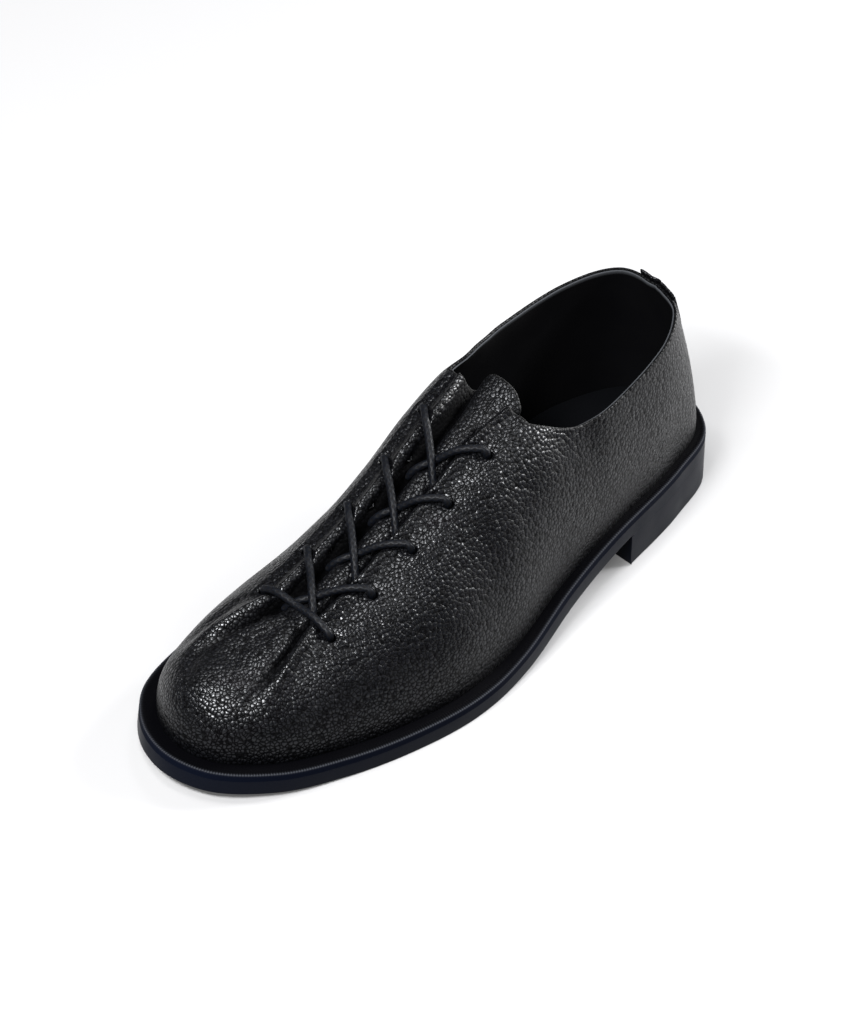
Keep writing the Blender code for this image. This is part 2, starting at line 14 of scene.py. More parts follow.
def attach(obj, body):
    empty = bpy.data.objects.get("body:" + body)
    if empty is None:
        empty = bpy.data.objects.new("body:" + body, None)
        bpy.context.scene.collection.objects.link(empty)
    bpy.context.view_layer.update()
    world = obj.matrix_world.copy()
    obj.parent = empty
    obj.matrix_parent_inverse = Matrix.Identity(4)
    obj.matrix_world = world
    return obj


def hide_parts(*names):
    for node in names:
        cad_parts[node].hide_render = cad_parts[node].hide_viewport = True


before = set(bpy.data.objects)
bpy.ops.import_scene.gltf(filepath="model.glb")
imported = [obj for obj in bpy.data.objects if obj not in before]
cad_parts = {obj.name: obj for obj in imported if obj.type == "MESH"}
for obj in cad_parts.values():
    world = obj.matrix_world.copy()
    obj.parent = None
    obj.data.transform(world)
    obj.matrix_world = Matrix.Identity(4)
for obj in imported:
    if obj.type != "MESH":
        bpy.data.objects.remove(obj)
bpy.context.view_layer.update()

MM = 0.001

# Driving dimensions, as in the part
LENGTH = 299.0
BALL_WIDTH = 105.8
HEEL_HEIGHT = 15.2
SOLE_HEIGHT = 9.7
WELT_HEIGHT = 3.2
TOE_SPRING = 5.5
BREAST_AT = 72.0
TREAD_BACK = 171.0
TREAD_FRONT = 222.0
WALL = 2.0
GAP = 0.3
INSOLE_RISE = 3.0
INSTEP_HEIGHT = 93.0
COLLAR_HEIGHT = 90.0
TOE_POLE = 262.0
HEEL_POLE = 36.0
POLE_SOFTNESS = 4.0
THROAT_AT = 118.5
LACE_RADIUS = 1.6
STRIP_WALL = 1.2
STRIP_RISE = 0.8
STRIP_HEIGHT = 24.0

# Layers and small forms that only the looks have
LEATHER_WALL = 1.3
LINING_TOP = 1.36
EYELET_RADIUS = 2.3
EYELET_SINK = 0.4
HAIR_GAP = 0.05
SOLE_EDGE = 0.7
PLATE_SHARP = 38.0
WELT_SHARP = 60.0

# Worked upper edge of the sock: draw in, and depth below its top
SOCK_EDGE = ((0.0, 0.6), (0.3, 0.15), (0.9, 0.0))

# Fineness of the meshes: steps, rows and lines, how they crowd, and what counts as one place
POLE_WELD = 0.05
RIM_STEPS = 5
EDGE_STEPS = 5
OUTLINE_STEPS = 28
CHORD_POWER = 0.75
SOLE_RUNGS = 150
SOLE_END_TURN = 0.01
WALL_SAMPLES = 140
SHARE_STEP = 0.004
OFFSET_STEP = 0.4
VAMP_LEAD = 6
HOLE_RING = 2
EASE_RING = 6
EYELET_CELL = 0.75
FOLD_CELL = 0.62
BEHIND_STEPS = 5
LOWER_ROWS = 40
LOWER_CROWDING = 1.25
LINING_ROWS = 24
LINING_CROWDING = 1.15
STRIP_ROWS = 26
STRIP_LINES = 22

# Grids of the upper: pitch along the vamp, wall lines round the toe, wall lines of a quarter
LEATHER_GRID = (0.86, 40, 80)
LINING_GRID = (2.2, 16, 40)

# Outsole edge, closed: along as a share of the length, across as a share of the ball width
OUTLINE = (
    ("heel back", 0.000, -0.076),
    ("heel corner, outer", 0.033, 0.123),
    ("heel side, outer", 0.119, 0.223),
    ("breast, outer", 0.251, 0.308),
    ("waist, outer", 0.385, 0.388),
    ("joint, outer", 0.502, 0.476),
    ("ball, outer", 0.619, 0.518),
    ("little toe", 0.719, 0.489),
    ("toe side, outer", 0.819, 0.420),
    ("toe turn, outer", 0.911, 0.321),
    ("toe corner, outer", 0.983, 0.148),
    ("toe tip", 1.000, -0.019),
    ("toe corner, inner", 0.987, -0.175),
    ("toe turn, inner", 0.933, -0.355),
    ("great toe", 0.836, -0.458),
    ("ball, inner", 0.742, -0.482),
    ("joint, inner", 0.652, -0.440),
    ("waist front, inner", 0.535, -0.378),
    ("waist, inner", 0.418, -0.364),
    ("breast, inner", 0.284, -0.397),
    ("heel side, inner", 0.151, -0.411),
    ("heel corner, inner", 0.040, -0.293),
)

# Width of the welt that shows outside the upper
MARGIN_COLUMNS = ("along", "outer", "inner")
MARGIN = (
    (0.0, 4.5, 4.5),
    (40.0, 4.0, 4.0),
    (90.0, 4.0, 3.5),
    (130.0, 5.0, 3.5),
    (170.0, 6.2, 4.5),
    (220.0, 6.2, 5.5),
    (299.0, 7.0, 7.0),
)
MARGIN_BLEND = (-20.0, 10.0)

# Comb line of the last: height is a share of the instep height, and runs on above the collar
CREST_COLUMNS = ("along", "across", "height")
CREST = (
    (20.0, -15.0, 1.441),
    (45.0, -13.5, 1.484),
    (80.0, -11.5, 1.333),
    (92.0, -10.8, 1.204),
    (105.0, -10.2, 1.070),
    (118.0, -9.4, 1.012),
    (124.0, -8.6, 0.994),
    (137.0, -7.0, 0.965),
    (161.0, -5.0, 0.849),
    (183.0, -3.0, 0.742),
    (206.0, -1.5, 0.645),
    (230.0, -0.5, 0.565),
    (250.0, -1.0, 0.505),
    (266.0, -2.0, 0.446),
    (285.0, -3.0, 0.355),
)

# Cross sections of the last: full is the power of the rounded section, swell its side bulge
SECTION_COLUMNS = ("along", "full outer", "full inner", "swell outer", "swell inner")
SECTION = (
    (6.0, 1.18, 1.18, 2.4, 2.4),
    (20.0, 1.46, 1.72, 1.9, 2.2),
    (40.0, 1.85, 2.10, 1.2, 2.0),
    (90.0, 1.85, 2.30, 1.5, 4.5),
    (105.0, 2.25, 2.90, 0.3, 5.5),
    (118.0, 2.60, 3.60, -0.8, 6.5),
    (137.0, 2.10, 2.80, 1.0, 7.5),
    (161.0, 1.95, 2.35, 1.5, 6.0),
    (183.0, 1.98, 2.10, 1.2, 3.5),
    (220.0, 2.05, 1.95, 0.5, 1.0),
    (260.0, 2.10, 2.05, 0.5, 0.5),
    (288.0, 2.25, 2.25, 0.5, 0.5),
)

# Collar edge as a share of the collar height
COLLAR_COLUMNS = ("along", "outer", "inner")
COLLAR = (
    (0.0, 1.010, 1.010),
    (20.0, 0.995, 1.030),
    (40.0, 0.956, 1.020),
    (60.0, 0.922, 1.008),
    (80.0, 0.897, 1.008),
    (92.0, 0.893, 1.012),
    (102.0, 0.918, 1.020),
    (110.0, 0.958, 1.030),
    (119.0, 1.000, 1.040),
)

# Long pleats of the vamp at places along: offset from the comb line, rise off the last, and how far
# each runs on past the throat.  The groove tucks in under the ridge
FOLD_ALONG = (256.0, 242.0, 229.0, 137.0, 112.0)
INNER_FOLDS = (
    ("roll top", (0.0, 0.0, 0.0, 0.0, 0.0), (0.0, -1.5, -4.4, -7.0, -4.6), 8.6),
    ("roll shoulder", (5.5, 4.2, 3.0, 2.8, 4.6), (0.0, -1.1, -4.6, -7.3, -5.0), 8.4),
    ("roll side", (10.5, 6.8, 5.2, 4.8, 8.0), (0.0, -1.2, -5.2, -8.5, -6.4), 7.6),
    ("groove wall, roll side", (14.0, 8.9, 6.7, 6.2, 9.8), (0.0, -2.4, -7.4, -11.2, -9.2), 6.0),
    ("groove floor", (15.8, 10.8, 8.6, 8.0, 11.6), (0.0, -3.6, -9.4, -13.6, -12.0), 3.5),
    ("groove wall, ridge side", (17.0, 12.2, 10.8, 10.2, 13.6), (0.0, -3.0, -7.6, -11.6, -10.0), 1.2),
    ("under the ridge", (17.8, 12.3, 10.6, 10.0, 13.6), (0.0, -1.6, -4.2, -7.0, -5.8), 0.3),
    ("ridge side", (18.6, 12.8, 10.2, 9.4, 13.2), (0.0, -0.1, -1.0, -2.5, -1.7), 0.0),
    ("ridge top", (19.6, 15.2, 12.4, 11.6, 15.2), (0.0, 1.0, 1.3, 0.5, 0.8), 0.0),
    ("ridge back", (20.4, 17.8, 15.4, 14.8, 16.6), (0.0, 0.2, -0.3, -1.0, -0.6), 0.0),
    ("eyelet front", (21.2, 19.4, 17.9, 17.8, 17.6), (0.0, -0.2, -1.1, -1.6, -0.6), 0.3),
    ("eyelet line", (22.0, 21.0, 20.4, 20.4, 18.8), (0.0, -0.1, -0.6, -0.8, -0.2), 0.7),
    ("fold edge", (24.5, 24.0, 23.4, 23.0, 20.2), (0.0, 0.0, 0.0, 0.0, 0.0), 1.2),
)
OUTER_FOLDS = (
    INNER_FOLDS[0],
    ("roll shoulder", (5.5, 4.2, 3.0, 2.8, 7.0), (0.0, -1.1, -4.5, -7.2, -5.0), 8.3),
    ("roll side", (10.5, 7.0, 5.4, 5.2, 13.0), (0.0, -1.2, -5.0, -8.2, -6.4), 7.0),
    ("groove wall, roll side", (14.0, 9.3, 7.0, 7.0, 17.4), (0.0, -2.4, -7.0, -10.4, -8.2), 5.2),
    ("groove floor", (15.8, 11.1, 9.0, 8.8, 19.0), (0.0, -3.6, -8.8, -12.4, -9.4), 3.0),
    ("groove wall, ridge side", (17.0, 12.3, 10.8, 10.6, 17.8), (0.0, -3.0, -7.2, -10.6, -7.8), 1.0),
    ("under the ridge", (17.8, 12.4, 10.6, 10.2, 14.6), (0.0, -1.6, -4.2, -6.8, -5.2), 0.3),
) + INNER_FOLDS[7:]
# Painted shade along the pleats' grooves: darkness at each fold row, and the groove depth at which it is
# full
GROOVE_SHADE = (0.0, 0.0, 0.12, 0.7, 1.0, 1.0, 0.9, 0.2, 0.0, 0.0, 0.0, 0.0, 0.0)
GROOVE_FULL = 6.0
FLOOR_ROW = 4
RIDGE_ROW = 7
EYELET_ROW = 11
FOLD_MIDDLE = 183.0
EYELET_ROWS = (229.5, 206.0, 183.0, 161.0, 137.5)
CORNER_BLEND = 20.0
HEEL_CROWDING = 1.2
THROAT_SPREAD = 26.0
REACH_LEAST = 0.01

# Creases of the vamp: along, across, depth, half width.  A trough has a positive
# depth, a ridge a negative one
CREASES = (
    ("inner pleat running out", (
        (230.0, -7.2, 0.0, 2.1), (236.0, -8.9, 1.6, 2.0), (243.0, -11.4, 3.0, 1.9),
        (250.0, -13.9, 3.4, 1.9), (256.0, -15.8, 3.0, 2.0), (261.0, -17.1, 2.3, 2.2),
        (266.0, -17.2, 1.6, 2.5), (272.0, -15.4, 1.0, 2.9), (279.0, -10.4, 0.5, 3.3),
        (285.0, -4.0, 0.0, 3.6),
    )),
    ("outer pleat running out", (
        (231.0, 7.6, 0.0, 1.8), (237.0, 9.2, 1.4, 1.7), (243.0, 10.8, 2.5, 1.6),
        (250.0, 12.2, 2.9, 1.5), (257.0, 13.5, 2.5, 1.4), (264.0, 14.6, 1.6, 1.3),
        (271.0, 15.5, 0.6, 1.3), (277.0, 16.1, 0.0, 1.3),
    )),
    ("outer ridge running out", (
        (234.0, 13.0, 0.0, 2.6), (243.0, 14.9, -1.2, 2.6), (252.0, 16.6, -1.5, 2.6),
        (260.0, 18.0, -1.2, 2.8), (270.0, 19.4, 0.0, 3.0),
    )),
    ("inner ridge running out", (
        (228.0, -12.8, 0.0, 3.4), (235.0, -15.0, -0.9, 3.6), (243.0, -18.0, -1.8, 3.8),
        (251.0, -20.6, -1.8, 3.8), (258.0, -22.4, -1.4, 3.8), (266.0, -22.2, -0.7, 4.0),
        (275.0, -19.0, 0.0, 4.2),
    )),
    ("behind the inner ridge", (
        (231.0, -21.5, 0.0, 3.0), (243.0, -26.5, 1.2, 3.2), (256.0, -28.6, 0.9, 3.6),
        (268.0, -28.0, 0.0, 4.0),
    )),
    ("toe panel", (
        (236.0, 0.0, 0.0, 6.0), (246.0, -2.0, 0.8, 6.5), (258.0, -4.0, 0.8, 7.0),
        (268.0, -5.0, 0.0, 7.0),
    )),
    ("pucker at the first eyelet", (
        (232.0, 24.5, 0.0, 1.3), (227.0, 26.5, 0.35, 1.3), (221.0, 27.0, 0.0, 1.3),
    )),
    ("pucker past the first eyelet", (
        (236.0, 27.0, 0.0, 1.5), (229.0, 30.5, 0.3, 1.5), (220.0, 31.0, 0.0, 1.5),
    )),
    ("pucker at the second eyelet", (
        (217.0, 21.5, 0.0, 1.2), (214.0, 24.5, 0.3, 1.2), (209.0, 26.5, 0.0, 1.2),
    )),
)
CREASE_STEP = 1.0
CREASE_NEAR = 45.0
# Painted shade at the bottom of deep crease troughs: depths where it starts and is full, share of the
# half width it covers, and its darkness
CREASE_DEEP = (0.9, 3.0)
CREASE_CORE = 0.75
CREASE_SHADE = 0.95
# Darkening of the collar and throat edge rows through the same mask, which also dulls them and takes out
# their glints
COLLAR_SHADE = 0.8

# Places a lace passes: offset from the comb line on the side it leaves (minus) or reaches (plus),
# share of the way to the row it runs to, height of its middle, and what that is measured from
EYELET_EXIT = (
    (-19.8, 0.0, -3.4, "leather"),
    (-19.7, 0.0, -1.0, "leather"),
    (-18.9, 0.0, 0.8, "leather"),
)
CROSS_ROUTE = EYELET_EXIT + (
    (-17.2, 0.02, 1.4, "leather"),
    (-14.6, 0.11, 0.6, "leather"),
    (-12.2, 0.20, -0.9, "leather"),
    (-9.0, 0.32, -2.0, "ridge"),
    (0.0, 0.66, 1.7, "roll"),
    (4.4, 0.83, 0.1, "roll"),
    (7.0, 0.92, -1.4, "roll"),
    (9.0, 0.98, -2.8, "roll"),
    (10.8, 1.02, -3.8, "roll"),
)
BAR_HALF = EYELET_EXIT + (
    (-17.2, 0.0, 1.3, "leather"),
    (-12.4, 0.0, -0.4, "leather"),
)
BAR_ROUTE = BAR_HALF + ((0.0, 0.0, 3.4, "roll"),) + tuple((-row[0],) + row[1:] for row in BAR_HALF[::-1])
PRESS_FROM = 17.6
PRESS_TO = 5.0
PRESS_BOWL = 0.2
PRESS_SOFT = 0.5
PRESS_CUT = -4.0 * PRESS_SOFT
PRESS_REACH = 3.0 * LACE_RADIUS
UNDER_LIFT = -1.4
OVER_LIFT = 1.4
LIFT_SPREAD = 4.5
LACE_SIDES = 20
LACE_STEP = 0.45
CORD_SIDE = (1.0, 0.0, 0.3)

# Back strip: width either side of the heel line by share of the way down
STRIP_COLUMNS = ("down", "half width")
STRIP = (
    (0.0, 16.0),
    (0.55, 13.5),
    (0.85, 10.5),
    (1.0, 7.0),
)

# Camera: turn round the shoe, height, roll, distance and lens that match the photograph
CAMERA_TURN = math.radians(134.205)
CAMERA_RISE = math.radians(40.648)
CAMERA_ROLL = math.radians(1.803)
CAMERA_DISTANCE = 2.92473
CAMERA_TARGET = Vector((-0.00966, -0.02028, 0.03651))
CAMERA_LENS = 256.71
CAMERA_SENSOR = 36.0
CAMERA_CLIP = 20.0

OUTER = 1
INNER = -1
SIDES = ((OUTER, "outer"), (INNER, "inner"))


def tangents(values, steps):
    """Slopes for a smooth curve through rows that are unevenly spaced."""
    slope = np.diff(values, axis=0) / steps[:, None]
    out = np.zeros_like(values)
    before = steps[:-1, None]
    after = steps[1:, None]
    out[1:-1] = (slope[:-1] * after + slope[1:] * before) / (before + after)
    out[0] = slope[0]
    out[-1] = slope[-1]
    return out


def hermite(share, step, start, end, start_slope, end_slope):
    """Cubic between two rows."""
    square = share * share
    cube = square * share
    value = (2 * cube - 3 * square + 1) * start + (3 * square - 2 * cube) * end
    return value + step * ((cube - 2 * square + share) * start_slope + (cube - square) * end_slope)


def closed_curve(points, per_step):
    """Smooth closed curve through the points, sampled evenly between them."""
    count = len(points)
    ring = np.vstack([points[-2:], points, points[:3]])
    steps = np.linalg.norm(np.diff(ring, axis=0), axis=1) ** CHORD_POWER
    slopes = tangents(ring, steps)
    shares = np.linspace(0.0, 1.0, per_step, endpoint=False)[:, None]
    parts = []
    for i in range(2, count + 2):
        parts.append(hermite(shares, steps[i], ring[i], ring[i + 1], slopes[i], slopes[i + 1]))
    return np.vstack(parts)


def smooth_line(points, step):
    """Smooth open curve through points, sampled about every step."""
    keys = arc_lengths(points)
    steps = np.diff(keys)
    slopes = tangents(points, steps)
    at = np.linspace(0.0, keys[-1], int(keys[-1] / step) + 2)
    i = np.clip(np.searchsorted(keys, at, side="right") - 1, 0, len(steps) - 1)
    share = ((at - keys[i]) / steps[i])[:, None]
    return hermite(share, steps[i][:, None], points[i], points[i + 1], slopes[i], slopes[i + 1])


def even_curve(keys, values, at):
    """Smooth curve through rising keys with no overshoot between them."""
    steps = np.diff(keys)
    slope = np.diff(values) / steps
    turn = slope[:-1] * slope[1:]
    bend = np.zeros_like(values)
    bend[1:-1] = np.where(turn > 0, 2.0 * turn / np.where(turn > 0, slope[:-1] + slope[1:], 1.0), 0.0)
    bend[0] = slope[0]
    bend[-1] = slope[-1]
    at = np.clip(at, keys[0], keys[-1])
    i = np.clip(np.searchsorted(keys, at, side="right") - 1, 0, len(steps) - 1)
    return hermite((at - keys[i]) / steps[i], steps[i], values[i], values[i + 1], bend[i], bend[i + 1])


def column(table, names, name, key):
    """A column of a table at a key."""
    at = names.index(name)
    rows = np.array([[row[0], row[at]] for row in table])
    return even_curve(rows[:, 0], rows[:, 1], key)


def smooth_step(value, start, end):
    share = np.clip((value - start) / (end - start), 0.0, 1.0)
    return share * share * (3.0 - 2.0 * share)


def arc_lengths(line):
    return np.concatenate([[0.0], np.cumsum(np.linalg.norm(np.diff(line, axis=0), axis=1))])


def sample(keys, line, at):
    return np.stack([np.interp(at, keys, line[:, k]) for k in range(line.shape[1])], -1)


def unit(vectors):
    return vectors / np.maximum(np.linalg.norm(vectors, axis=-1, keepdims=True), 1e-12)


# Forms of the sole

def sole_bottom(along):
    """Underside of the outsole: heel seat, arch, flat tread, toe spring."""
    arch = HEEL_HEIGHT * (1.0 - smooth_step(along, BREAST_AT, TREAD_BACK))
    spring = np.clip((along - TREAD_FRONT) / (LENGTH - TREAD_FRONT), 0.0, None)
    return arch + TOE_SPRING * spring * spring


def on_sole(plan, rise):
    """Points of a plan raised off the underside, square to its slope."""
    along = plan[:, 0]
    slope = sole_bottom(along + 0.5) - sole_bottom(along - 0.5)
    return np.stack([along - rise * slope, plan[:, 1], sole_bottom(along) + rise], -1)


def sole_outline():
    rows = np.array([(along * LENGTH, across * BALL_WIDTH) for _, along, across in OUTLINE])
    return closed_curve(rows, OUTLINE_STEPS)


def drawn_in(outline, width):
    """The outline moved inward by a width that may change along it."""
    run = np.roll(outline, -1, 0) - np.roll(outline, 1, 0)
    inward = unit(np.stack([run[:, 1], -run[:, 0]], -1))
    return outline + inward * np.reshape(width, (-1, 1))


def welt_width(plan):
    """Width of the welt that shows beside points of the sole's edge."""
    outer = column(MARGIN, MARGIN_COLUMNS, "outer", plan[:, 0])
    inner = column(MARGIN, MARGIN_COLUMNS, "inner", plan[:, 0])
    share = smooth_step(plan[:, 1], *MARGIN_BLEND)
    return outer * share + inner * (1.0 - share)


def feather_outline(extra):
    """Foot of the upper on the welt, drawn in by a further amount."""
    outline = sole_outline()
    return drawn_in(outline, welt_width(outline) + extra)


def halves(outline):
    """An outline as two lines from toe to heel: outer side, inner side."""
    ring = np.roll(outline, -int(outline[:, 0].argmin()), 0)
    toe = int(ring[:, 0].argmax())
    return ring[: toe + 1][::-1], np.vstack([ring[toe:], ring[:1]])


# Forms of the upper

def comb_place(along):
    """Place on the comb line reached by a wall line that starts at this place along."""
    low = HEEL_POLE + POLE_SOFTNESS * np.logaddexp(0.0, (along - HEEL_POLE) / POLE_SOFTNESS)
    return TOE_POLE - POLE_SOFTNESS * np.logaddexp(0.0, (TOE_POLE - low) / POLE_SOFTNESS)


def comb_point(place):
    across = column(CREST, CREST_COLUMNS, "across", place)
    height = column(CREST, CREST_COLUMNS, "height", place) * INSTEP_HEIGHT
    return np.array([place, across, height])


def comb_normal(place):
    run = comb_point(place + 0.5) - comb_point(place - 0.5)
    return unit(np.array([-run[2], 0.0, run[0]]))


FEATHER = {}
for (feather_side, _), feather_line in zip(SIDES, halves(feather_outline(0.0))):
    FEATHER[feather_side] = (arc_lengths(feather_line), feather_line)
TURN = np.linspace(0.0, 0.5 * math.pi, WALL_SAMPLES)


def wall_line(side, share):
    """One line of the last from the comb line down to the welt; share is 0 at toe, 1 at heel."""
    word = dict(SIDES)[side]
    keys, line = FEATHER[side]
    foot = on_sole(sample(keys, line, np.array([share * keys[-1]])), SOLE_HEIGHT + GAP)[0]
    power = 2.0 / column(SECTION, SECTION_COLUMNS, "full " + word, foot[0])
    swell = column(SECTION, SECTION_COLUMNS, "swell " + word, foot[0])
    reach = comb_point(comb_place(foot[0])) - foot
    across = 1.0 - np.cos(TURN) ** power - swell * np.sin(2.0 * TURN) / np.linalg.norm(reach[:2])
    points = np.empty((WALL_SAMPLES, 3))
    points[:, :2] = foot[:2] + reach[:2] * across[:, None]
    points[:, 2] = foot[2] + reach[2] * np.sin(TURN) ** power
    return points[::-1]


def on_last(side, share, offsets):
    line = wall_line(side, share)
    return sample(arc_lengths(line), line, offsets)


def last_normals(side, share, offsets):
    """Outward directions of the last along one wall line."""
    if share < SHARE_STEP:
        run = on_last(OUTER, SHARE_STEP, offsets) - on_last(INNER, SHARE_STEP, offsets)
        turn = -1.0
        side = OUTER
    elif share > 1.0 - SHARE_STEP:
        run = on_last(INNER, 1.0 - SHARE_STEP, offsets) - on_last(OUTER, 1.0 - SHARE_STEP, offsets)
        turn = -1.0
        side = OUTER
    else:
        run = on_last(side, share + SHARE_STEP, offsets) - on_last(side, share - SHARE_STEP, offsets)
        turn = -float(side)
    down = on_last(side, share, offsets + OFFSET_STEP) - on_last(side, share, offsets - OFFSET_STEP)
    normal = turn * np.cross(run, down)
    near_comb = offsets < OFFSET_STEP
    if near_comb.any():
        normal[near_comb] = comb_normal(on_last(side, share, np.zeros(1))[0, 0])
    return unit(normal)


def share_at(side, along):
    """Share of the wall line whose foot is at a place along."""
    keys, line = FEATHER[side]
    foot = on_sole(line, SOLE_HEIGHT + GAP)
    return np.interp(-np.asarray(along), -foot[:, 0], keys / keys[-1])


FOLDS = {OUTER: OUTER_FOLDS, INNER: INNER_FOLDS}


def fold_rows(side, along):
    """Offsets and rises of the named folds at a place along the vamp."""
    places = -np.array(FOLD_ALONG)
    offsets = np.array([even_curve(places, np.array(fold[1]), -along) for fold in FOLDS[side]])
    rises = np.array([even_curve(places, np.array(fold[2]), -along) for fold in FOLDS[side]])
    return offsets, rises


FOLD_KEYS = arc_lengths(np.stack(fold_rows(INNER, FOLD_MIDDLE), -1))
FOLD_REACH = {side: np.array([fold[3] for fold in FOLDS[side]]) for side, _ in SIDES}


def fold_curve(side, along, keys):
    """Offsets and rises of the pleats at a place along; keys run over the folds as on mid vamp."""
    offsets, rises = fold_rows(side, along)
    return even_curve(FOLD_KEYS, offsets, keys), even_curve(FOLD_KEYS, rises, keys)


def collar_offset(side, share):
    """How far below the comb line the collar edge lies on a quarter's wall line."""
    word = dict(SIDES)[side]
    line = wall_line(side, share)
    along = line[-1, 0]
    height = COLLAR_HEIGHT * column(COLLAR, COLLAR_COLUMNS, word, along)
    corner_share = float(share_at(side, THROAT_AT))
    corner = on_last(side, corner_share, fold_rows(side, THROAT_AT)[0][-1:])[0, 2]
    meant = COLLAR_HEIGHT * column(COLLAR, COLLAR_COLUMNS, word, THROAT_AT)
    height += (corner - meant) * (1.0 - smooth_step(THROAT_AT - along, 0.0, CORNER_BLEND))
    return float(np.interp(-height, -line[:, 2], arc_lengths(line)))


# Meshes

OUTLINE_LOOP = sole_outline()
MIDDLE = np.append(0.5 * (OUTLINE_LOOP.min(0) + OUTLINE_LOOP.max(0)), 0.0)


def add_object(name, data):
    item = bpy.data.objects.new(name, data)
    bpy.context.scene.collection.objects.link(item)
    return item


def make_piece(name, points, faces, material, nodes, sharp=None, values=None):
    """A smooth shaded piece that stands for CAD nodes and rides on the shoe."""
    mesh = bpy.data.meshes.new(name)
    placed = (np.asarray(points) - MIDDLE) * MM
    mesh.from_pydata(placed.tolist(), [], [tuple(dict.fromkeys(int(v) for v in face)) for face in faces])
    mesh.update()
    mesh.shade_smooth()
    if sharp is not None:
        mesh.set_sharp_from_angle(angle=math.radians(sharp))
    for key, numbers in (values or {}).items():
        layer = mesh.attributes.new(key, "FLOAT", "POINT")
        layer.data.foreach_set("value", np.asarray(numbers, np.float32))
    mesh.materials.append(material)
    piece = add_object(name, mesh)
    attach(piece, "root")
    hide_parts(*nodes)


def boundary_edges(faces):
    """Directed edges that only one face has."""
    seen = {}
    for face in faces:
        for a, b in zip(face, face[1:] + face[:1]):
            if a == b:
                continue
            key = (a, b) if a < b else (b, a)
            seen[key] = None if key in seen else (a, b)
    return [edge for edge in seen.values() if edge is not None]


def face_normals(points, faces):
    """Outward direction of a surface of quads at each of its points."""
    corners = points[np.array(faces)]
    across = np.cross(corners[:, 2] - corners[:, 0], corners[:, 3] - corners[:, 1])
    total = np.zeros_like(points)
    for k in range(4):
        np.add.at(total, np.array(faces)[:, k], across)
    return unit(total)


def wall(points, normals, faces, top, bottom, values=None):
    """A closed wall between two depths below a surface, with half-round edges."""
    count = len(points)
    outer = points - normals * top
    inner = points - normals * bottom
    joined = list(faces) + [tuple(count + v for v in reversed(face)) for face in faces]
    edges = boundary_edges(faces)
    run = np.zeros_like(points)
    for a, b in edges:
        way = points[b] - points[a]
        run[a] += way
        run[b] += way
    rim = sorted({v for edge in edges for v in edge})
    place = {v: k for k, v in enumerate(rim)}
    side = unit(np.cross(run[rim], normals[rim]))
    middle = 0.5 * (outer[rim] + inner[rim])
    half = 0.5 * (outer[rim] - inner[rim])
    radius = 0.5 * (bottom - top)
    rings = []
    for step in range(1, RIM_STEPS):
        turn = math.pi * step / RIM_STEPS
        rings.append(middle + half * math.cos(turn) + side * radius * math.sin(turn))
    start = 2 * count

    def ring_vertex(v, step):
        if step == 0:
            return v
        if step == RIM_STEPS:
            return count + v
        return start + (step - 1) * len(rim) + place[v]

    for a, b in edges:
        for step in range(RIM_STEPS):
            joined.append((ring_vertex(b, step), ring_vertex(a, step),
                           ring_vertex(a, step + 1), ring_vertex(b, step + 1)))
    spread = {}
    for key, numbers in (values or {}).items():
        spread[key] = np.concatenate([numbers, numbers] + [numbers[rim]] * (RIM_STEPS - 1))
    return np.vstack([outer, inner] + rings), joined, spread


def vamp_places(pitch):
    """Places along of the vamp's wall lines as far as the throat, and the eyelets' rows."""
    places = [EYELET_ROWS[0] + pitch * k for k in range(VAMP_LEAD, 0, -1)]
    rows = []
    for start, end in zip(EYELET_ROWS, EYELET_ROWS[1:] + (THROAT_AT,)):
        count = max(2, int(round((start - end) / pitch)))
        rows.append(len(places))
        places.extend(start + (end - start) * k / count for k in range(count))
    return np.array(places + [THROAT_AT]), rows


def upper_lines(side, places, toe_lines, quarter_lines):
    """Shares of the wall lines of one side, toe to heel."""
    rows = share_at(side, places)
    lead = share_at(OUTER, places[0]) * np.linspace(0.0, 1.0, toe_lines, endpoint=False)
    if side == INNER:
        keys, line = FEATHER[OUTER]
        feet = on_sole(sample(keys, line, lead * keys[-1]), SOLE_HEIGHT + GAP)
        lead = share_at(INNER, feet[:, 0])
        lead[0] = 0.0
    run = 1.0 - (1.0 - np.linspace(0.0, 1.0, quarter_lines + 1)[1:]) ** HEEL_CROWDING
    return np.concatenate([lead, rows, rows[-1] + (1.0 - rows[-1]) * run])


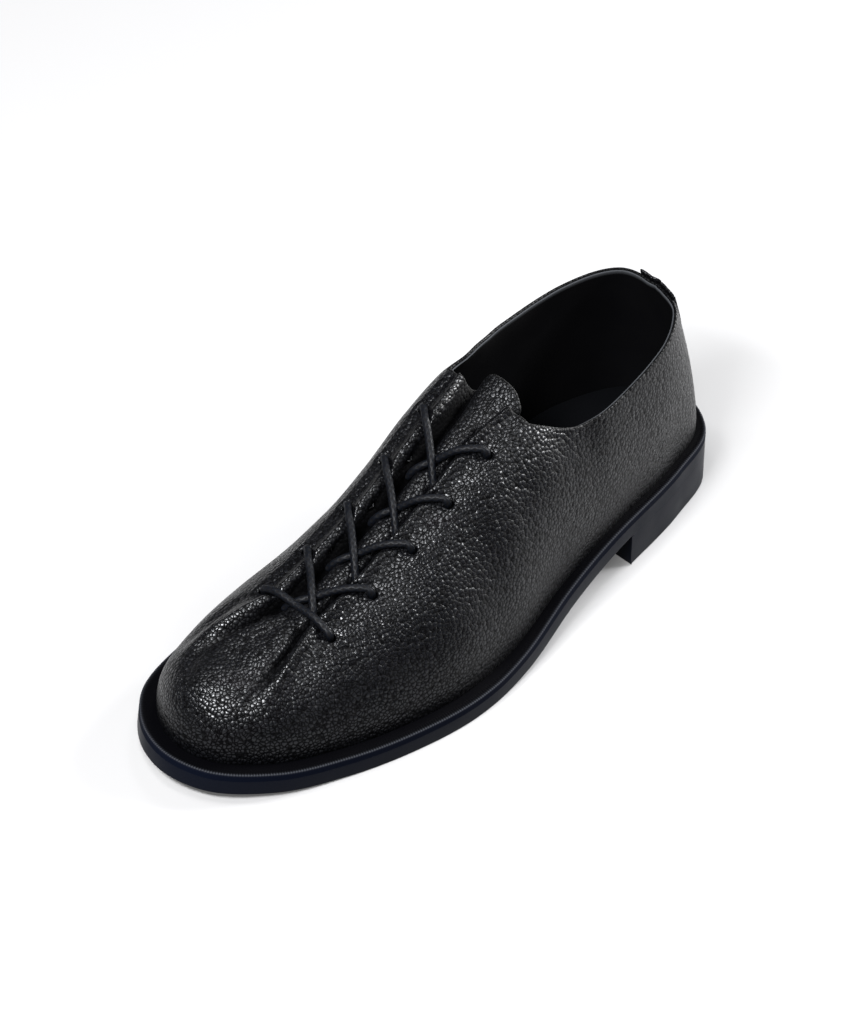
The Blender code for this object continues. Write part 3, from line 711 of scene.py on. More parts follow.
def upper_surface(pitch, toe_lines, quarter_lines, fold_keys, lower):
    """Points, normals, shade and index grids of the upper's outer face, eyelet rows, vamp lines."""
    places, rows = vamp_places(pitch)
    rows = [toe_lines + row for row in rows]
    vamp = toe_lines + len(places)
    folds = len(fold_keys)
    width = folds + len(lower)
    shade = even_curve(FOLD_KEYS, np.array(GROOVE_SHADE), fold_keys)
    points, normals, groove, index = [], [], [], {}
    for side, _ in SIDES:
        shares = upper_lines(side, places, toe_lines, quarter_lines)
        index[side] = np.full((len(shares), width), -1)
        reach = even_curve(FOLD_KEYS, FOLD_REACH[side], fold_keys)
        for i, share in enumerate(shares):
            line = wall_line(side, share)
            end = arc_lengths(line)[-1]
            if i < vamp:
                along = comb_place(line[-1, 0]) if i else TOE_POLE
                offsets, rises = fold_curve(side, along, fold_keys)
                offsets = np.concatenate([offsets, offsets[-1] + (end - offsets[-1]) * lower])
                rises = np.concatenate([rises, np.zeros(len(lower))])
                # Painted shade along the grooves, at full strength once the groove floor lies GROOVE_FULL
                # below the last
                full = np.clip(-fold_rows(side, along)[1][FLOOR_ROW] / GROOVE_FULL, 0.0, 1.0)
                dark = np.concatenate([shade * full, np.zeros(len(lower))])
                first = 0
            else:
                top = collar_offset(side, share) + 0.5 * LEATHER_WALL
                offsets = np.concatenate([[top], top + (end - top) * lower])
                rises = np.zeros(len(offsets))
                dark = rises
                first = folds - 1
            spot = on_last(side, share, offsets)
            out = last_normals(side, share, offsets)
            near_throat = 1.0 - smooth_step(line[-1, 0], THROAT_AT, THROAT_AT + THROAT_SPREAD)
            if toe_lines <= i < vamp and near_throat > 0.0:
                for j in range(folds):
                    if reach[j] * near_throat > REACH_LEAST:
                        further = line[-1, 0] - reach[j] * near_throat
                        moved = float(share_at(side, further))
                        place, height = fold_curve(side, further, fold_keys[j : j + 1])
                        spot[j] = on_last(side, moved, place)[0]
                        out[j] = last_normals(side, moved, place)[0]
                        rises[j] = height[0]
            for j in range(len(offsets)):
                if i and j == 0 and i < toe_lines and TOE_POLE - along < POLE_WELD:
                    index[side][i, 0] = index[OUTER][0, 0]
                    continue
                shared = side == INNER and (i in (0, len(shares) - 1) or (i < vamp and j == 0))
                if shared:
                    index[side][i, first + j] = index[OUTER][i, first + j]
                    continue
                index[side][i, first + j] = len(points)
                points.append(spot[j] + out[j] * rises[j])
                normals.append(out[j])
                groove.append(dark[j])
    return np.array(points), np.array(normals), np.array(groove), index, rows, vamp


def surface_faces(index, vamp, first_lower, holes):
    """Quads of the upper's outer face, without those in the punched holes."""
    faces = []
    for side, _ in SIDES:
        grid = index[side]
        for i in range(len(grid) - 1):
            for j in range(first_lower if i + 1 >= vamp else 0, grid.shape[1] - 1):
                if (i, j) in holes:
                    continue
                face = (grid[i, j], grid[i, j + 1], grid[i + 1, j + 1], grid[i + 1, j])
                faces.append(face if side == OUTER else face[::-1])
    return [tuple(int(v) for v in face) for face in faces]


def crease_depth(points):
    """How far the placed creases press each point in, and how much shade is painted into the deep ones.
    """
    total = np.zeros(len(points))
    dark = np.zeros(len(points))
    for _, rows in CREASES:
        table = np.array(rows)
        line = smooth_line(table, CREASE_STEP)
        near = np.abs(points[:, 0] - table[:, 0].mean()) < CREASE_NEAR
        gap = np.linalg.norm(points[near, None, :2] - line[None, :, :2], axis=2)
        best = gap.argmin(1)
        away = gap[np.arange(len(best)), best]
        depth, half = line[best, 2], line[best, 3]
        total[near] += depth * np.exp(-(away / half) ** 2)
        deep = smooth_step(depth, *CREASE_DEEP) * np.exp(-(away / (CREASE_CORE * half)) ** 2)
        dark[near] = np.maximum(dark[near], CREASE_SHADE * deep)
    return total, dark


def pressed(points, normals, paths):
    """Depth that keeps the leather under the laces that lie on it, as a soft trough."""
    tree = KDTree(sum(len(path) for path in paths))
    spots = np.vstack(paths)
    for k, spot in enumerate(spots):
        tree.insert(spot, k)
    tree.balance()
    depth = np.zeros(len(points))
    lowest = spots.min(0) - PRESS_REACH
    highest = spots.max(0) + PRESS_REACH
    near = np.nonzero(((points > lowest) & (points < highest)).all(1))[0]
    for v in near:
        spot, _, away = tree.find(points[v])
        gap = points[v] - np.array(spot)
        above = float(gap @ normals[v])
        aside = max(away * away - above * above, 0.0)
        over = above + LACE_RADIUS - PRESS_BOWL * aside
        if abs(above) < PRESS_REACH and over > PRESS_CUT:
            depth[v] = 0.5 * (over + math.sqrt(over * over + PRESS_SOFT * PRESS_SOFT))
    return depth


def open_eyelets(points, normals, index, rows, at):
    """Rounds the grid about each eyelet and says which quads the punch takes out."""
    holes = set()
    for side, _ in SIDES:
        grid = index[side]
        for row in rows:
            centre = points[grid[row, at]].copy()
            for down in range(-EASE_RING, EASE_RING + 1):
                for over in range(-EASE_RING, EASE_RING + 1):
                    ring = max(abs(down), abs(over))
                    if ring < HOLE_RING:
                        continue
                    v = grid[row + down, at + over]
                    away = points[v] - centre
                    far = np.linalg.norm(away)
                    ease = (EASE_RING - ring) / (EASE_RING - HOLE_RING)
                    wanted = EYELET_RADIUS * ring / HOLE_RING
                    points[v] = centre + away * (1.0 + ease * (wanted / far - 1.0))
                    points[v] -= normals[v] * EYELET_SINK * ease ** 3
            for down in range(-HOLE_RING, HOLE_RING):
                for over in range(-HOLE_RING, HOLE_RING):
                    holes.add((row + down, at + over))
    return holes


def used_only(points, faces, *others):
    """Drops points that no face uses."""
    used = sorted({v for face in faces for v in face})
    new = {v: k for k, v in enumerate(used)}
    faces = [tuple(new[v] for v in face) for face in faces]
    return (points[used], faces) + tuple(other[used] for other in others)


def build_upper(leather, lining, press_paths):
    eyelet = FOLD_KEYS[EYELET_ROW]
    lead = eyelet - EASE_RING * EYELET_CELL
    ahead = np.linspace(0.0, lead, int(lead / FOLD_CELL), endpoint=False)
    about = np.linspace(lead, eyelet, EASE_RING, endpoint=False)
    behind = np.linspace(eyelet, FOLD_KEYS[-1], BEHIND_STEPS)
    keys = np.concatenate([ahead, about, behind])
    lower = (np.arange(1, LOWER_ROWS + 1) / LOWER_ROWS) ** LOWER_CROWDING
    points, normals, groove, index, rows, vamp = upper_surface(*LEATHER_GRID, keys, lower)
    # The groove mask paints shade into the pleats' grooves and the deep crease troughs; the collar and
    # throat edge rows are darkened through it too
    depth, dark = crease_depth(points)
    groove = np.maximum(groove, dark)
    for side, _ in SIDES:
        groove[index[side][vamp - 1 :, len(keys) - 1]] = COLLAR_SHADE
        throat = index[side][vamp - 1, : len(keys)]
        groove[throat] = np.maximum(groove[throat], COLLAR_SHADE)
    points -= normals * depth[:, None]
    points -= normals * pressed(points, normals, press_paths)[:, None]
    holes = open_eyelets(points, normals, index, rows, len(ahead) + len(about))
    faces = surface_faces(index, vamp, len(keys) - 1, holes)
    points, faces, groove = used_only(points, faces, groove)
    normals = face_normals(points, faces)
    points, faces, values = wall(points, normals, faces, 0.0, LEATHER_WALL, {"groove": groove})
    make_piece("upper_leather", points, faces, leather, ("upper",), values=values)

    keys = FOLD_KEYS[-2:]
    lower = (np.arange(1, LINING_ROWS + 1) / LINING_ROWS) ** LINING_CROWDING
    points, normals, _, index, _, _ = upper_surface(*LINING_GRID, keys, lower)
    faces = surface_faces(index, 0, 1, set())
    # Painted highlight along the lining's top edge
    edge = np.zeros(len(points))
    for side, _ in SIDES:
        edge[index[side][:, 1]] = 1.0
    points, faces, normals, edge = used_only(points, faces, normals, edge)
    points, faces, values = wall(points, normals, faces, LINING_TOP, WALL, {"edge": edge})
    make_piece("upper_lining", points, faces, lining, (), values=values)


def build_back_strip(leather):
    share_per_mm = {side: 1.0 / FEATHER[side][0][-1] for side, _ in SIDES}
    points, normals = [], []
    columns = range(-STRIP_LINES, STRIP_LINES + 1)
    for row in range(STRIP_ROWS + 1):
        down = row / STRIP_ROWS
        half = column(STRIP, STRIP_COLUMNS, "half width", down)
        for line in columns:
            side = OUTER if line < 0 else INNER
            share = 1.0 - abs(line) / STRIP_LINES * half * share_per_mm[side]
            offset = np.array([collar_offset(side, share) - STRIP_RISE + down * STRIP_HEIGHT])
            normal = last_normals(side, share, offset)[0]
            points.append(on_last(side, share, offset)[0] + normal * (HAIR_GAP + STRIP_WALL))
            normals.append(normal)
    wide = len(columns)
    faces = []
    for row in range(STRIP_ROWS):
        for k in range(wide - 1):
            a = row * wide + k
            faces.append((a, a + wide, a + 1 + wide, a + 1))
    points, faces, _ = wall(np.array(points), np.array(normals), faces, 0.0, STRIP_WALL)
    make_piece("back_strip_leather", points, faces, leather, ("back_strip",))


# Sole

def rungs(outline, count, end_turn):
    """Places along, crowded toward toe and heel, and the two edges there."""
    back, front = outline[:, 0].min(), outline[:, 0].max()
    turn = np.linspace(end_turn, math.pi - end_turn, count)
    places = 0.5 * (front + back) + 0.5 * (front - back) * np.cos(turn)
    return places, edges_at(outline, places)


def edges_at(outline, places):
    return [np.interp(-places, -line[:, 0], line[:, 1]) for line in halves(outline)]


def ring_faces(starts, count):
    """Quads from each ring of points to the next; starts are the rings' first points."""
    faces = []
    for low, high in zip(starts, starts[1:]):
        for k in range(count):
            n = (k + 1) % count
            faces.append((low + n, low + k, high + k, high + n))
    return faces


def plate(name, places, edges, levels, material, nodes, square_behind=-1.0):
    """A plate with worked edges: levels are (draw in, surface) from its underside to its top."""
    count = len(places)
    loop = np.vstack([np.stack([places, edges[0]], -1)[::-1], np.stack([places, edges[1]], -1)])
    worked = np.where(loop[:, 0] > square_behind, 1.0, 0.0)
    points = np.vstack([surface(drawn_in(loop, width * worked)) for width, surface in levels])
    starts = [a * len(loop) for a in range(len(levels))]
    faces = ring_faces(starts, len(loop))
    for k in range(count - 1):
        cap = (count - 1 - k, count + k, count + k + 1, count - 2 - k)
        faces.append(cap)
        faces.append(tuple(starts[-1] + v for v in reversed(cap)))
    make_piece(name, points, faces, material, nodes, sharp=PLATE_SHARP)


def level(height):
    return lambda plan: np.column_stack([plan, np.full(len(plan), height)])


def raised(rise):
    return lambda plan: on_sole(plan, rise)


def rounded(low, high, surface, edge):
    """Levels of a plate whose lower edge is rounded."""
    out = []
    for turn in np.linspace(0.0, 0.5 * math.pi, EDGE_STEPS):
        out.append((edge * (1.0 - math.sin(turn)), surface(low + edge * (1.0 - math.cos(turn)))))
    return out + [(0.0, surface(high))]


def build_sole(rubber, sock):
    places, edges = rungs(OUTLINE_LOOP, SOLE_RUNGS, SOLE_END_TURN)
    top = SOLE_HEIGHT - WELT_HEIGHT - HAIR_GAP
    plate("outsole_rubber", places, edges, rounded(0.0, top, raised, SOLE_EDGE), rubber,
          ("outsole",), square_behind=BREAST_AT)
    behind = np.concatenate([[BREAST_AT], places[places < BREAST_AT]])
    heel = rounded(0.0, HEEL_HEIGHT - HAIR_GAP, level, SOLE_EDGE)
    plate("heel_rubber", behind, edges_at(OUTLINE_LOOP, behind), heel, rubber, ("heel",))
    places, edges = rungs(feather_outline(WALL + GAP), SOLE_RUNGS, SOLE_END_TURN)
    sock_levels = [(0.0, raised(SOLE_HEIGHT - WELT_HEIGHT))]
    sock_levels += [(inset, raised(SOLE_HEIGHT + INSOLE_RISE - fall)) for inset, fall in SOCK_EDGE]
    plate("insole_sock", places, edges, sock_levels, sock, ("insole",))


# Welt: wheel marks across its outer half, pitch along the edge and height
WHEEL_PITCH = 1.15
WHEEL_HEIGHT = 0.2
WHEEL_STEPS = 4
# How far the painted highlight on the welt's outer edge dims in the dips of the wheel marks
HIGHLIGHT_BREAK = 0.75

# Section of the welt from the upper outward: inset from the edge, height below its top, share of the
# wheel marks, share of the painted highlight on the outer edge, share of the side that is dressed like
# the sole
WELT_SECTION = (
    (3.4, 0.0, 0.0, 0.0, 0.0),
    (2.9, 0.04, 0.35, 0.0, 0.0),
    (2.2, 0.06, 0.9, 0.0, 0.0),
    (1.4, 0.05, 1.0, 0.03, 0.0),
    (0.75, 0.0, 1.0, 0.3, 0.0),
    (0.35, 0.08, 0.8, 1.0, 0.0),
    (0.1, 0.3, 0.5, 0.9, 0.2),
    (0.0, 0.65, 0.1, 0.1, 1.0),
    (0.0, 1.2, 0.0, 0.0, 1.0),
)


def build_welt(material):
    keys = arc_lengths(np.vstack([OUTLINE_LOOP, OUTLINE_LOOP[:1]]))
    marks = int(round(keys[-1] / WHEEL_PITCH))
    count = marks * WHEEL_STEPS
    at = np.linspace(0.0, keys[-1], count, endpoint=False)
    loop = sample(keys, np.vstack([OUTLINE_LOOP, OUTLINE_LOOP[:1]]), at)
    wave = 0.5 - 0.5 * np.cos(2.0 * math.pi * np.arange(count) / WHEEL_STEPS)
    inside = welt_width(loop) + WALL
    rings = [
        on_sole(drawn_in(loop, inside), SOLE_HEIGHT - WELT_HEIGHT),
        on_sole(drawn_in(loop, inside), SOLE_HEIGHT),
    ]
    # Painted highlight along the welt's outer top edge, broken by the wheel marks
    edge_highlight = [np.zeros(2 * count)]
    dressed = [0.0, 0.0]
    for inset, fall, share, edge, side in WELT_SECTION:
        ring = on_sole(drawn_in(loop, np.full(count, inset)), SOLE_HEIGHT - fall)
        ring[:, 2] -= WHEEL_HEIGHT * share * wave
        rings.append(ring)
        edge_highlight.append(edge * (1.0 - HIGHLIGHT_BREAK * wave))
        dressed.append(side)
    rings.append(on_sole(loop, SOLE_HEIGHT - WELT_HEIGHT))
    edge_highlight.append(np.zeros(count))
    dressed.append(1.0)
    starts = [a * count for a in range(len(rings))] + [0]
    faces = [face[::-1] for face in ring_faces(starts, count)]
    values = {"edge": np.concatenate(edge_highlight), "side": np.repeat(dressed, count)}
    make_piece("welt_ledge", np.vstack(rings), faces, material, ("welt",),
               sharp=WELT_SHARP, values=values)


# Laces

def on_vamp(side, along, offset, clear, base):
    """A point over the vamp, clear of the folded leather or of the roll's or the ridge's top."""
    offsets, rises = fold_rows(side, along)
    if base == "roll":
        rise = rises[0] + clear
    elif base == "ridge":
        rise = rises[RIDGE_ROW + 1] + clear
    elif offset < offsets[RIDGE_ROW]:
        rise = even_curve(offsets[:FLOOR_ROW], rises[:FLOOR_ROW], offset) + clear
    else:
        rise = even_curve(offsets[RIDGE_ROW:], rises[RIDGE_ROW:], offset) + clear
    share = float(share_at(side, along))
    place = np.array([offset])
    return on_last(side, share, place)[0] + last_normals(side, share, place)[0] * rise


def lace_route(start, end, route, flip, lift):
    """Middle of a lace from one eyelet row toward another."""
    points = []
    for offset, way, clear, base in route:
        along = start + (end - start) * way
        side = OUTER if flip * offset > 0 else INNER
        clear = clear + lift * math.exp(-(offset / LIFT_SPREAD) ** 2)
        points.append(on_vamp(side, along, abs(offset), clear, base))
    return smooth_line(np.array(points), LACE_STEP)


def cord_mesh(path):
    """Round cord with closed ends, and its length and turn for the braid."""
    run = unit(np.gradient(path, axis=0))
    over = unit(np.cross(run, np.array(CORD_SIDE)))
    up = np.cross(over, run)
    turn = np.linspace(0.0, 2.0 * math.pi, LACE_SIDES, endpoint=False)
    spokes = np.cos(turn)[None, :, None] * over[:, None] + np.sin(turn)[None, :, None] * up[:, None]
    rings = path[:, None] + LACE_RADIUS * spokes
    count = len(path)
    faces = []
    for a in range(count - 1):
        for k in range(LACE_SIDES):
            n = (k + 1) % LACE_SIDES
            low, high = a * LACE_SIDES, (a + 1) * LACE_SIDES
            faces.append((low + k, high + k, high + n, low + n))
    faces.append(tuple(range(LACE_SIDES)))
    faces.append(tuple((count - 1) * LACE_SIDES + k for k in reversed(range(LACE_SIDES))))
    run_on = np.repeat(arc_lengths(path), LACE_SIDES)
    return rings.reshape(-1, 3), faces, {"run": run_on, "turn": np.tile(turn, count)}


def lace_piece(name, paths, material):
    points, faces, run, turn = [], [], [], []
    for path in paths:
        start = sum(len(part) for part in points)
        part, part_faces, part_values = cord_mesh(path)
        points.append(part)
        faces.extend(tuple(start + v for v in face) for face in part_faces)
        run.append(part_values["run"])
        turn.append(part_values["turn"])
    values = {"run": np.concatenate(run), "turn": np.concatenate(turn)}
    node = name.replace("_cord", "")
    make_piece(name, np.vstack(points), faces, material, (node,), values=values)


def build_laces(material):
    """Makes the laces, and returns the stretches that lie on the leather."""
    first = EYELET_ROWS[0]
    lying = [row for row in CROSS_ROUTE if -PRESS_FROM < row[0] < PRESS_TO]
    lying_bar = [row for row in BAR_ROUTE if abs(row[0]) < PRESS_FROM]
    press_paths = [lace_route(first, first, lying_bar, 1.0, 0.0)]
    lace_piece("lace_bar_cord", [lace_route(first, first, BAR_ROUTE, 1.0, 0.0)], material)
    for k, (low, high) in enumerate(zip(EYELET_ROWS, EYELET_ROWS[1:]), 1):
        over = lace_route(high, low, CROSS_ROUTE, 1.0, OVER_LIFT)
        under = lace_route(high, low, CROSS_ROUTE, -1.0, UNDER_LIFT)
        lace_piece("lace_cross_%d_cord" % k, [over, under], material)
        press_paths.append(lace_route(high, low, lying, 1.0, OVER_LIFT))
        press_paths.append(lace_route(high, low, lying, -1.0, UNDER_LIFT))
    return press_paths


# Looks: colours are linear, lengths of the grain and the braid in metres
# Leather colour and reflection tint, from painted shade in valleys and grooves to the open pebble tops
LEATHER_COLOURS = ((0.0003, 0.0003, 0.0004), (0.0016, 0.0017, 0.0022))
LEATHER_TINTS = ((0.03, 0.03, 0.03), (0.95, 0.97, 1.0))
LEATHER_ROUGHNESS = (0.46, 0.28)
LEATHER_SPECULAR = 0.25
# Painted highlight on the lining's top edge
LINING_HIGHLIGHT = (0.016, 0.017, 0.019)
SOLE_COLOUR = (0.0009, 0.0014, 0.0034)
# Painted highlight on the welt's outer top edge
WELT_HIGHLIGHT = (0.014, 0.015, 0.018)
GRAIN_SIZE = 0.0016
GRAIN_DRIFT = 0.0007
DRIFT_SCALE = 300.0
VALLEY_EDGES = (0.03, 0.28)
VALLEY_DEPTH = 0.000015
PEBBLE_FULL = 0.9
PEBBLE_REACH = 0.62
PEBBLE_DOME = 0.00014
PORE_SCALE = 3200.0
PORE_DEPTH = 0.000003
PATCH_SCALE = 38.0
PATCH_EDGES = (0.35, 0.65)
PATCH_ROUGHNESS = (-0.04, 0.05)
GROOVE_ROUGHNESS = 0.4
BROAD_SCALE = 45.0
BROAD_EDGES = (0.3, 0.7)
BROAD_ROUGHNESS = (-0.05, 0.06)
PLAIN_DARK = 0.75
PLAIN_BUMP = 0.5
LACE_COLOURS = ((0.0003, 0.0003, 0.0006), (0.0008, 0.0011, 0.0019))
LACE_ROUGHNESS = (0.7, 0.46)
LACE_SPECULAR = 0.06
BRAID_PITCH = 3.2
BRAID_YARNS = 4.0
BRAID_BUMP = 0.45
BRAID_DEPTH = 0.00012
YARN_EDGES = (-0.4, 0.9)
YARN_GLOSS = (-0.5, 1.0)

# Plain black surfaces: colour, roughness, scale and depth of the fine texture, specular level
FINISHES = {
    "lining_leather": ((0.0004, 0.0004, 0.0006), 0.75, 1500.0, 0.0001, 0.03),
    "sole_rubber": (SOLE_COLOUR, 0.42, 2600.0, 0.00004, 0.05),
    "welt_leather": ((0.0003, 0.0003, 0.0005), 0.6, 2200.0, 0.0001, 0.01),
    "sock_leather": ((0.0004, 0.0005, 0.0008), 0.8, 1800.0, 0.0001, 0.03),
}


def new_material(name):
    material = bpy.data.materials.new(name)
    material.use_nodes = True
    tree = material.node_tree
    return material, tree, tree.nodes["Principled BSDF"]


def feed(tree, node, inputs):
    """Links sockets to a node's inputs, and sets those given as plain values."""
    for key, value in inputs.items():
        if isinstance(value, bpy.types.NodeSocket):
            tree.links.new(value, node.inputs[key])
        else:
            node.inputs[key].default_value = value


def add_node(tree, kind, inputs, **settings):
    node = tree.nodes.new(kind)
    for key, value in settings.items():
        setattr(node, key, value)
    feed(tree, node, inputs)
    return node


def math_node(tree, operation, first, second):
    return add_node(tree, "ShaderNodeMath", {0: first, 1: second}, operation=operation).outputs[0]


def vector_node(tree, operation, inputs):
    return add_node(tree, "ShaderNodeVectorMath", inputs, operation=operation).outputs[0]


def noise(tree, place, scale, detail):
    return add_node(tree, "ShaderNodeTexNoise", {"Vector": place, "Scale": scale, "Detail": detail})


def bumped(tree, height, strength, distance):
    inputs = {"Height": height, "Strength": strength, "Distance": distance}
    return add_node(tree, "ShaderNodeBump", inputs).outputs[0]


def object_place(tree):
    return add_node(tree, "ShaderNodeTexCoord", {}).outputs["Object"]


def attribute(tree, name):
    return add_node(tree, "ShaderNodeAttribute", {}, attribute_name=name).outputs["Fac"]


def map_range(tree, value, source, target):
    """A value eased from one pair of ends to another."""
    inputs = {"Value": value, "From Min": source[0], "From Max": source[1]}
    inputs.update({"To Min": target[0], "To Max": target[1]})
    return add_node(tree, "ShaderNodeMapRange", inputs, interpolation_type="SMOOTHSTEP").outputs["Result"]


def colour_mix(tree, factor, low, high):
    """Mix of two colours, each a colour or another node's socket."""
    node = add_node(tree, "ShaderNodeMix", {"Factor": factor}, data_type="RGBA")
    for socket, value in zip([s for s in node.inputs if s.type == "RGBA"], (low, high)):
        if isinstance(value, bpy.types.NodeSocket):
            tree.links.new(value, socket)
        else:
            socket.default_value = (*value, 1.0)
    return [s for s in node.outputs if s.type == "RGBA"][0]


def pebble_leather(name):
    """Black leather with rounded pebbles, with painted shade in the valleys and the pleats: darker,
    duller and with less reflection there.
    """
    material, tree, shader = new_material(name)
    place = object_place(tree)
    drift = noise(tree, place, DRIFT_SCALE, 2.0).outputs["Color"]
    bend = vector_node(tree, "SUBTRACT", {0: drift, 1: (0.5, 0.5, 0.5)})
    bent = vector_node(tree, "SCALE", {0: bend, "Scale": GRAIN_DRIFT})
    grain = {"Vector": vector_node(tree, "ADD", {0: place, 1: bent}), "Scale": 1.0 / GRAIN_SIZE}
    edges = add_node(tree, "ShaderNodeTexVoronoi", grain, feature="DISTANCE_TO_EDGE")
    cells = add_node(tree, "ShaderNodeTexVoronoi", grain)
    pebble = map_range(tree, edges.outputs["Distance"], VALLEY_EDGES, (0.0, 1.0))
    spread = math_node(tree, "MULTIPLY", cells.outputs["Distance"], 1.0 / PEBBLE_REACH)
    dome = math_node(tree, "SUBTRACT", 1.0, math_node(tree, "MULTIPLY", spread, spread))
    pores = noise(tree, place, PORE_SCALE, 2.0).outputs[0]
    height = math_node(tree, "MULTIPLY", dome, PEBBLE_DOME)
    for relief, depth in ((pebble, VALLEY_DEPTH), (pores, PORE_DEPTH)):
        height = math_node(tree, "ADD", height, math_node(tree, "MULTIPLY", relief, depth))
    patch = noise(tree, place, PATCH_SCALE, 3.0).outputs[0]
    groove = attribute(tree, "groove")
    rough = map_range(tree, pebble, (0.0, PEBBLE_FULL), LEATHER_ROUGHNESS)
    rough = math_node(tree, "ADD", rough, map_range(tree, patch, PATCH_EDGES, PATCH_ROUGHNESS))
    rough = math_node(tree, "ADD", rough, math_node(tree, "MULTIPLY", groove, GROOVE_ROUGHNESS))
    # Painted shade: the grain's valleys and the groove mask darken the colour and tint down the
    # reflection
    light = math_node(tree, "MULTIPLY", pebble, math_node(tree, "SUBTRACT", 1.0, groove))
    feed(tree, shader, {
        "Normal": bumped(tree, height, 1.0, 1.0),
        "Roughness": rough,
        "Base Color": colour_mix(tree, light, *LEATHER_COLOURS),
        "Specular Tint": colour_mix(tree, light, *LEATHER_TINTS),
        "Specular IOR Level": LEATHER_SPECULAR,
    })
    return material


def plain_black(name, colour, roughness, scale, depth, specular):
    """Close-textured black surface with a little unevenness in its gloss."""
    material, tree, shader = new_material(name)
    place = object_place(tree)
    fine = noise(tree, place, scale, 3.0).outputs[0]
    broad = noise(tree, place, BROAD_SCALE, 2.0).outputs[0]
    ends = tuple(roughness + change for change in BROAD_ROUGHNESS)
    feed(tree, shader, {
        "Normal": bumped(tree, fine, PLAIN_BUMP, depth),
        "Roughness": map_range(tree, broad, BROAD_EDGES, ends),
        "Base Color": colour_mix(tree, fine, tuple(PLAIN_DARK * c for c in colour), colour),
        "Specular IOR Level": specular,
    })
    return material


def tinted(material, name, colour):
    """Gives a surface another colour where an attribute is one."""
    tree = material.node_tree
    base = tree.nodes["Principled BSDF"].inputs["Base Color"]
    tree.links.new(colour_mix(tree, attribute(tree, name), base.links[0].from_socket, colour), base)


def braided_cord(name):
    """Waxed round lace: two families of yarn crossing on the slant."""
    material, tree, shader = new_material(name)
    along = math_node(tree, "MULTIPLY", attribute(tree, "run"), 2.0 * math.pi / BRAID_PITCH)
    around = math_node(tree, "MULTIPLY", attribute(tree, "turn"), BRAID_YARNS)
    left = math_node(tree, "SINE", math_node(tree, "ADD", along, around), 0.0)
    right = math_node(tree, "SINE", math_node(tree, "SUBTRACT", along, around), 0.0)
    weave = math_node(tree, "MAXIMUM", left, right)
    yarn = map_range(tree, weave, YARN_EDGES, (0.0, 1.0))
    feed(tree, shader, {
        "Normal": bumped(tree, weave, BRAID_BUMP, BRAID_DEPTH),
        "Roughness": map_range(tree, weave, YARN_GLOSS, LACE_ROUGHNESS),
        "Base Color": colour_mix(tree, yarn, *LACE_COLOURS),
        "Specular IOR Level": LACE_SPECULAR,
    })
    return material


# Stage: a floor that looks white under the softboxes and lights the shoe little
FLOOR_HALF = 4.0
FLOOR_CORNERS = ((-1, -1), (1, -1), (1, 1), (-1, 1))
FLOOR_FINISH = {
    "Base Color": (0.138, 0.138, 0.14, 1.0),
    "Roughness": 0.9,
    "Specular IOR Level": 0.1,
    "Emission Color": (1.0, 1.0, 1.0, 1.0),
    "Emission Strength": 0.12,
}
WORLD_FINISH = {"Color": (1.0, 1.0, 1.0, 1.0), "Strength": 0.04}


def build_stage():
    mesh = bpy.data.meshes.new("floor")
    mesh.from_pydata([(FLOOR_HALF * x, FLOOR_HALF * y, 0) for x, y in FLOOR_CORNERS], [], [(0, 1, 2, 3)])
    floor = add_object("floor", mesh)
    material, tree, shader = new_material("floor_white")
    feed(tree, shader, FLOOR_FINISH)
    mesh.materials.append(material)
    world = bpy.data.worlds.new("studio")
    bpy.context.scene.world = world
    world.use_nodes = True
    feed(world.node_tree, world.node_tree.nodes["Background"], WORLD_FINISH)


# Softboxes round the shoe: bearing from the toe toward the outer side and height in degrees, width,
# height and distance in metres, radiance
LIGHTS = (
    ("toe softbox", 13.0, 50.0, 0.60, 0.24, 1.4, 200.0),
    ("inner toe softbox", -48.0, 45.0, 0.26, 0.20, 1.4, 56.0),
    ("outer toe softbox", 44.0, 50.0, 0.34, 0.18, 1.4, 70.0),
    ("overhead softbox", -60.0, 77.0, 0.44, 0.32, 1.4, 38.0),
    ("outer heel softbox", 154.0, 36.0, 0.40, 0.38, 1.4, 105.0),
    ("inner heel softbox", -154.0, 55.0, 0.24, 0.22, 1.4, 48.0),
    ("low heel light", 176.0, 12.0, 0.46, 0.34, 1.6, 150.0),
)
LIGHT_TARGET = Vector((0.0, 0.0, 0.04))


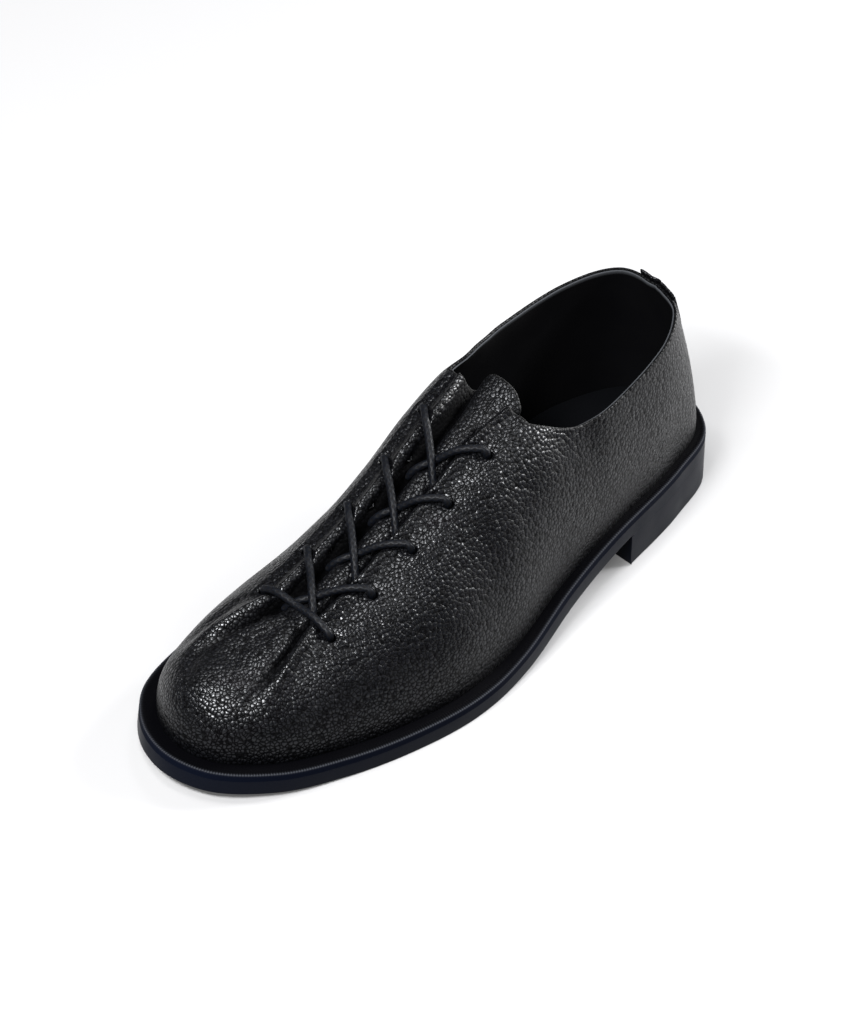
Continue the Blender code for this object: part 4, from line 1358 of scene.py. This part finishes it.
def area_light(name, bearing, height, width, tall, distance, radiance):
    """Softbox of a given brightness, facing the shoe."""
    light = bpy.data.lights.new(name, "AREA")
    light.shape = "RECTANGLE"
    light.size = width
    light.size_y = tall
    light.energy = radiance * math.pi * width * tall
    lamp = add_object(name, light)
    flat = math.cos(math.radians(height))
    turn = math.radians(bearing)
    way = Vector((math.cos(turn) * flat, math.sin(turn) * flat, math.sin(math.radians(height))))
    lamp.location = LIGHT_TARGET + way * distance
    lamp.rotation_mode = "QUATERNION"
    lamp.rotation_quaternion = (-way).to_track_quat("-Z", "Y")


def build_camera():
    """Camera at the photograph's angle."""
    data = bpy.data.cameras.new("camera")
    data.lens = CAMERA_LENS
    data.sensor_width = CAMERA_SENSOR
    data.clip_end = CAMERA_CLIP
    camera = add_object("camera", data)
    flat = math.cos(CAMERA_RISE)
    back = Vector((math.sin(CAMERA_TURN) * flat, -math.cos(CAMERA_TURN) * flat, math.sin(CAMERA_RISE)))
    level_right = Vector((math.cos(CAMERA_TURN), math.sin(CAMERA_TURN), 0.0))
    level_up = back.cross(level_right)
    right = level_right * math.cos(CAMERA_ROLL) + level_up * math.sin(CAMERA_ROLL)
    up = level_up * math.cos(CAMERA_ROLL) - level_right * math.sin(CAMERA_ROLL)
    turn = Matrix((right, up, back)).transposed()
    camera.matrix_world = Matrix.Translation(CAMERA_TARGET + back * CAMERA_DISTANCE) @ turn.to_4x4()
    bpy.context.scene.camera = camera


def main():
    bpy.context.scene.view_settings.view_transform = "Standard"
    build_camera()
    leather = pebble_leather("pebble_leather")
    plain = {name: plain_black(name, *finish) for name, finish in FINISHES.items()}
    # Painted highlights on the lining's top edge and the welt's outer edge; the welt's side takes the
    # sole's colour
    tinted(plain["lining_leather"], "edge", LINING_HIGHLIGHT)
    tinted(plain["welt_leather"], "side", SOLE_COLOUR)
    tinted(plain["welt_leather"], "edge", WELT_HIGHLIGHT)
    press_paths = build_laces(braided_cord("lace_cord"))
    build_upper(leather, plain["lining_leather"], press_paths)
    build_back_strip(leather)
    build_sole(plain["sole_rubber"], plain["sock_leather"])
    build_welt(plain["welt_leather"])
    build_stage()
    for row in LIGHTS:
        area_light(*row)


main()
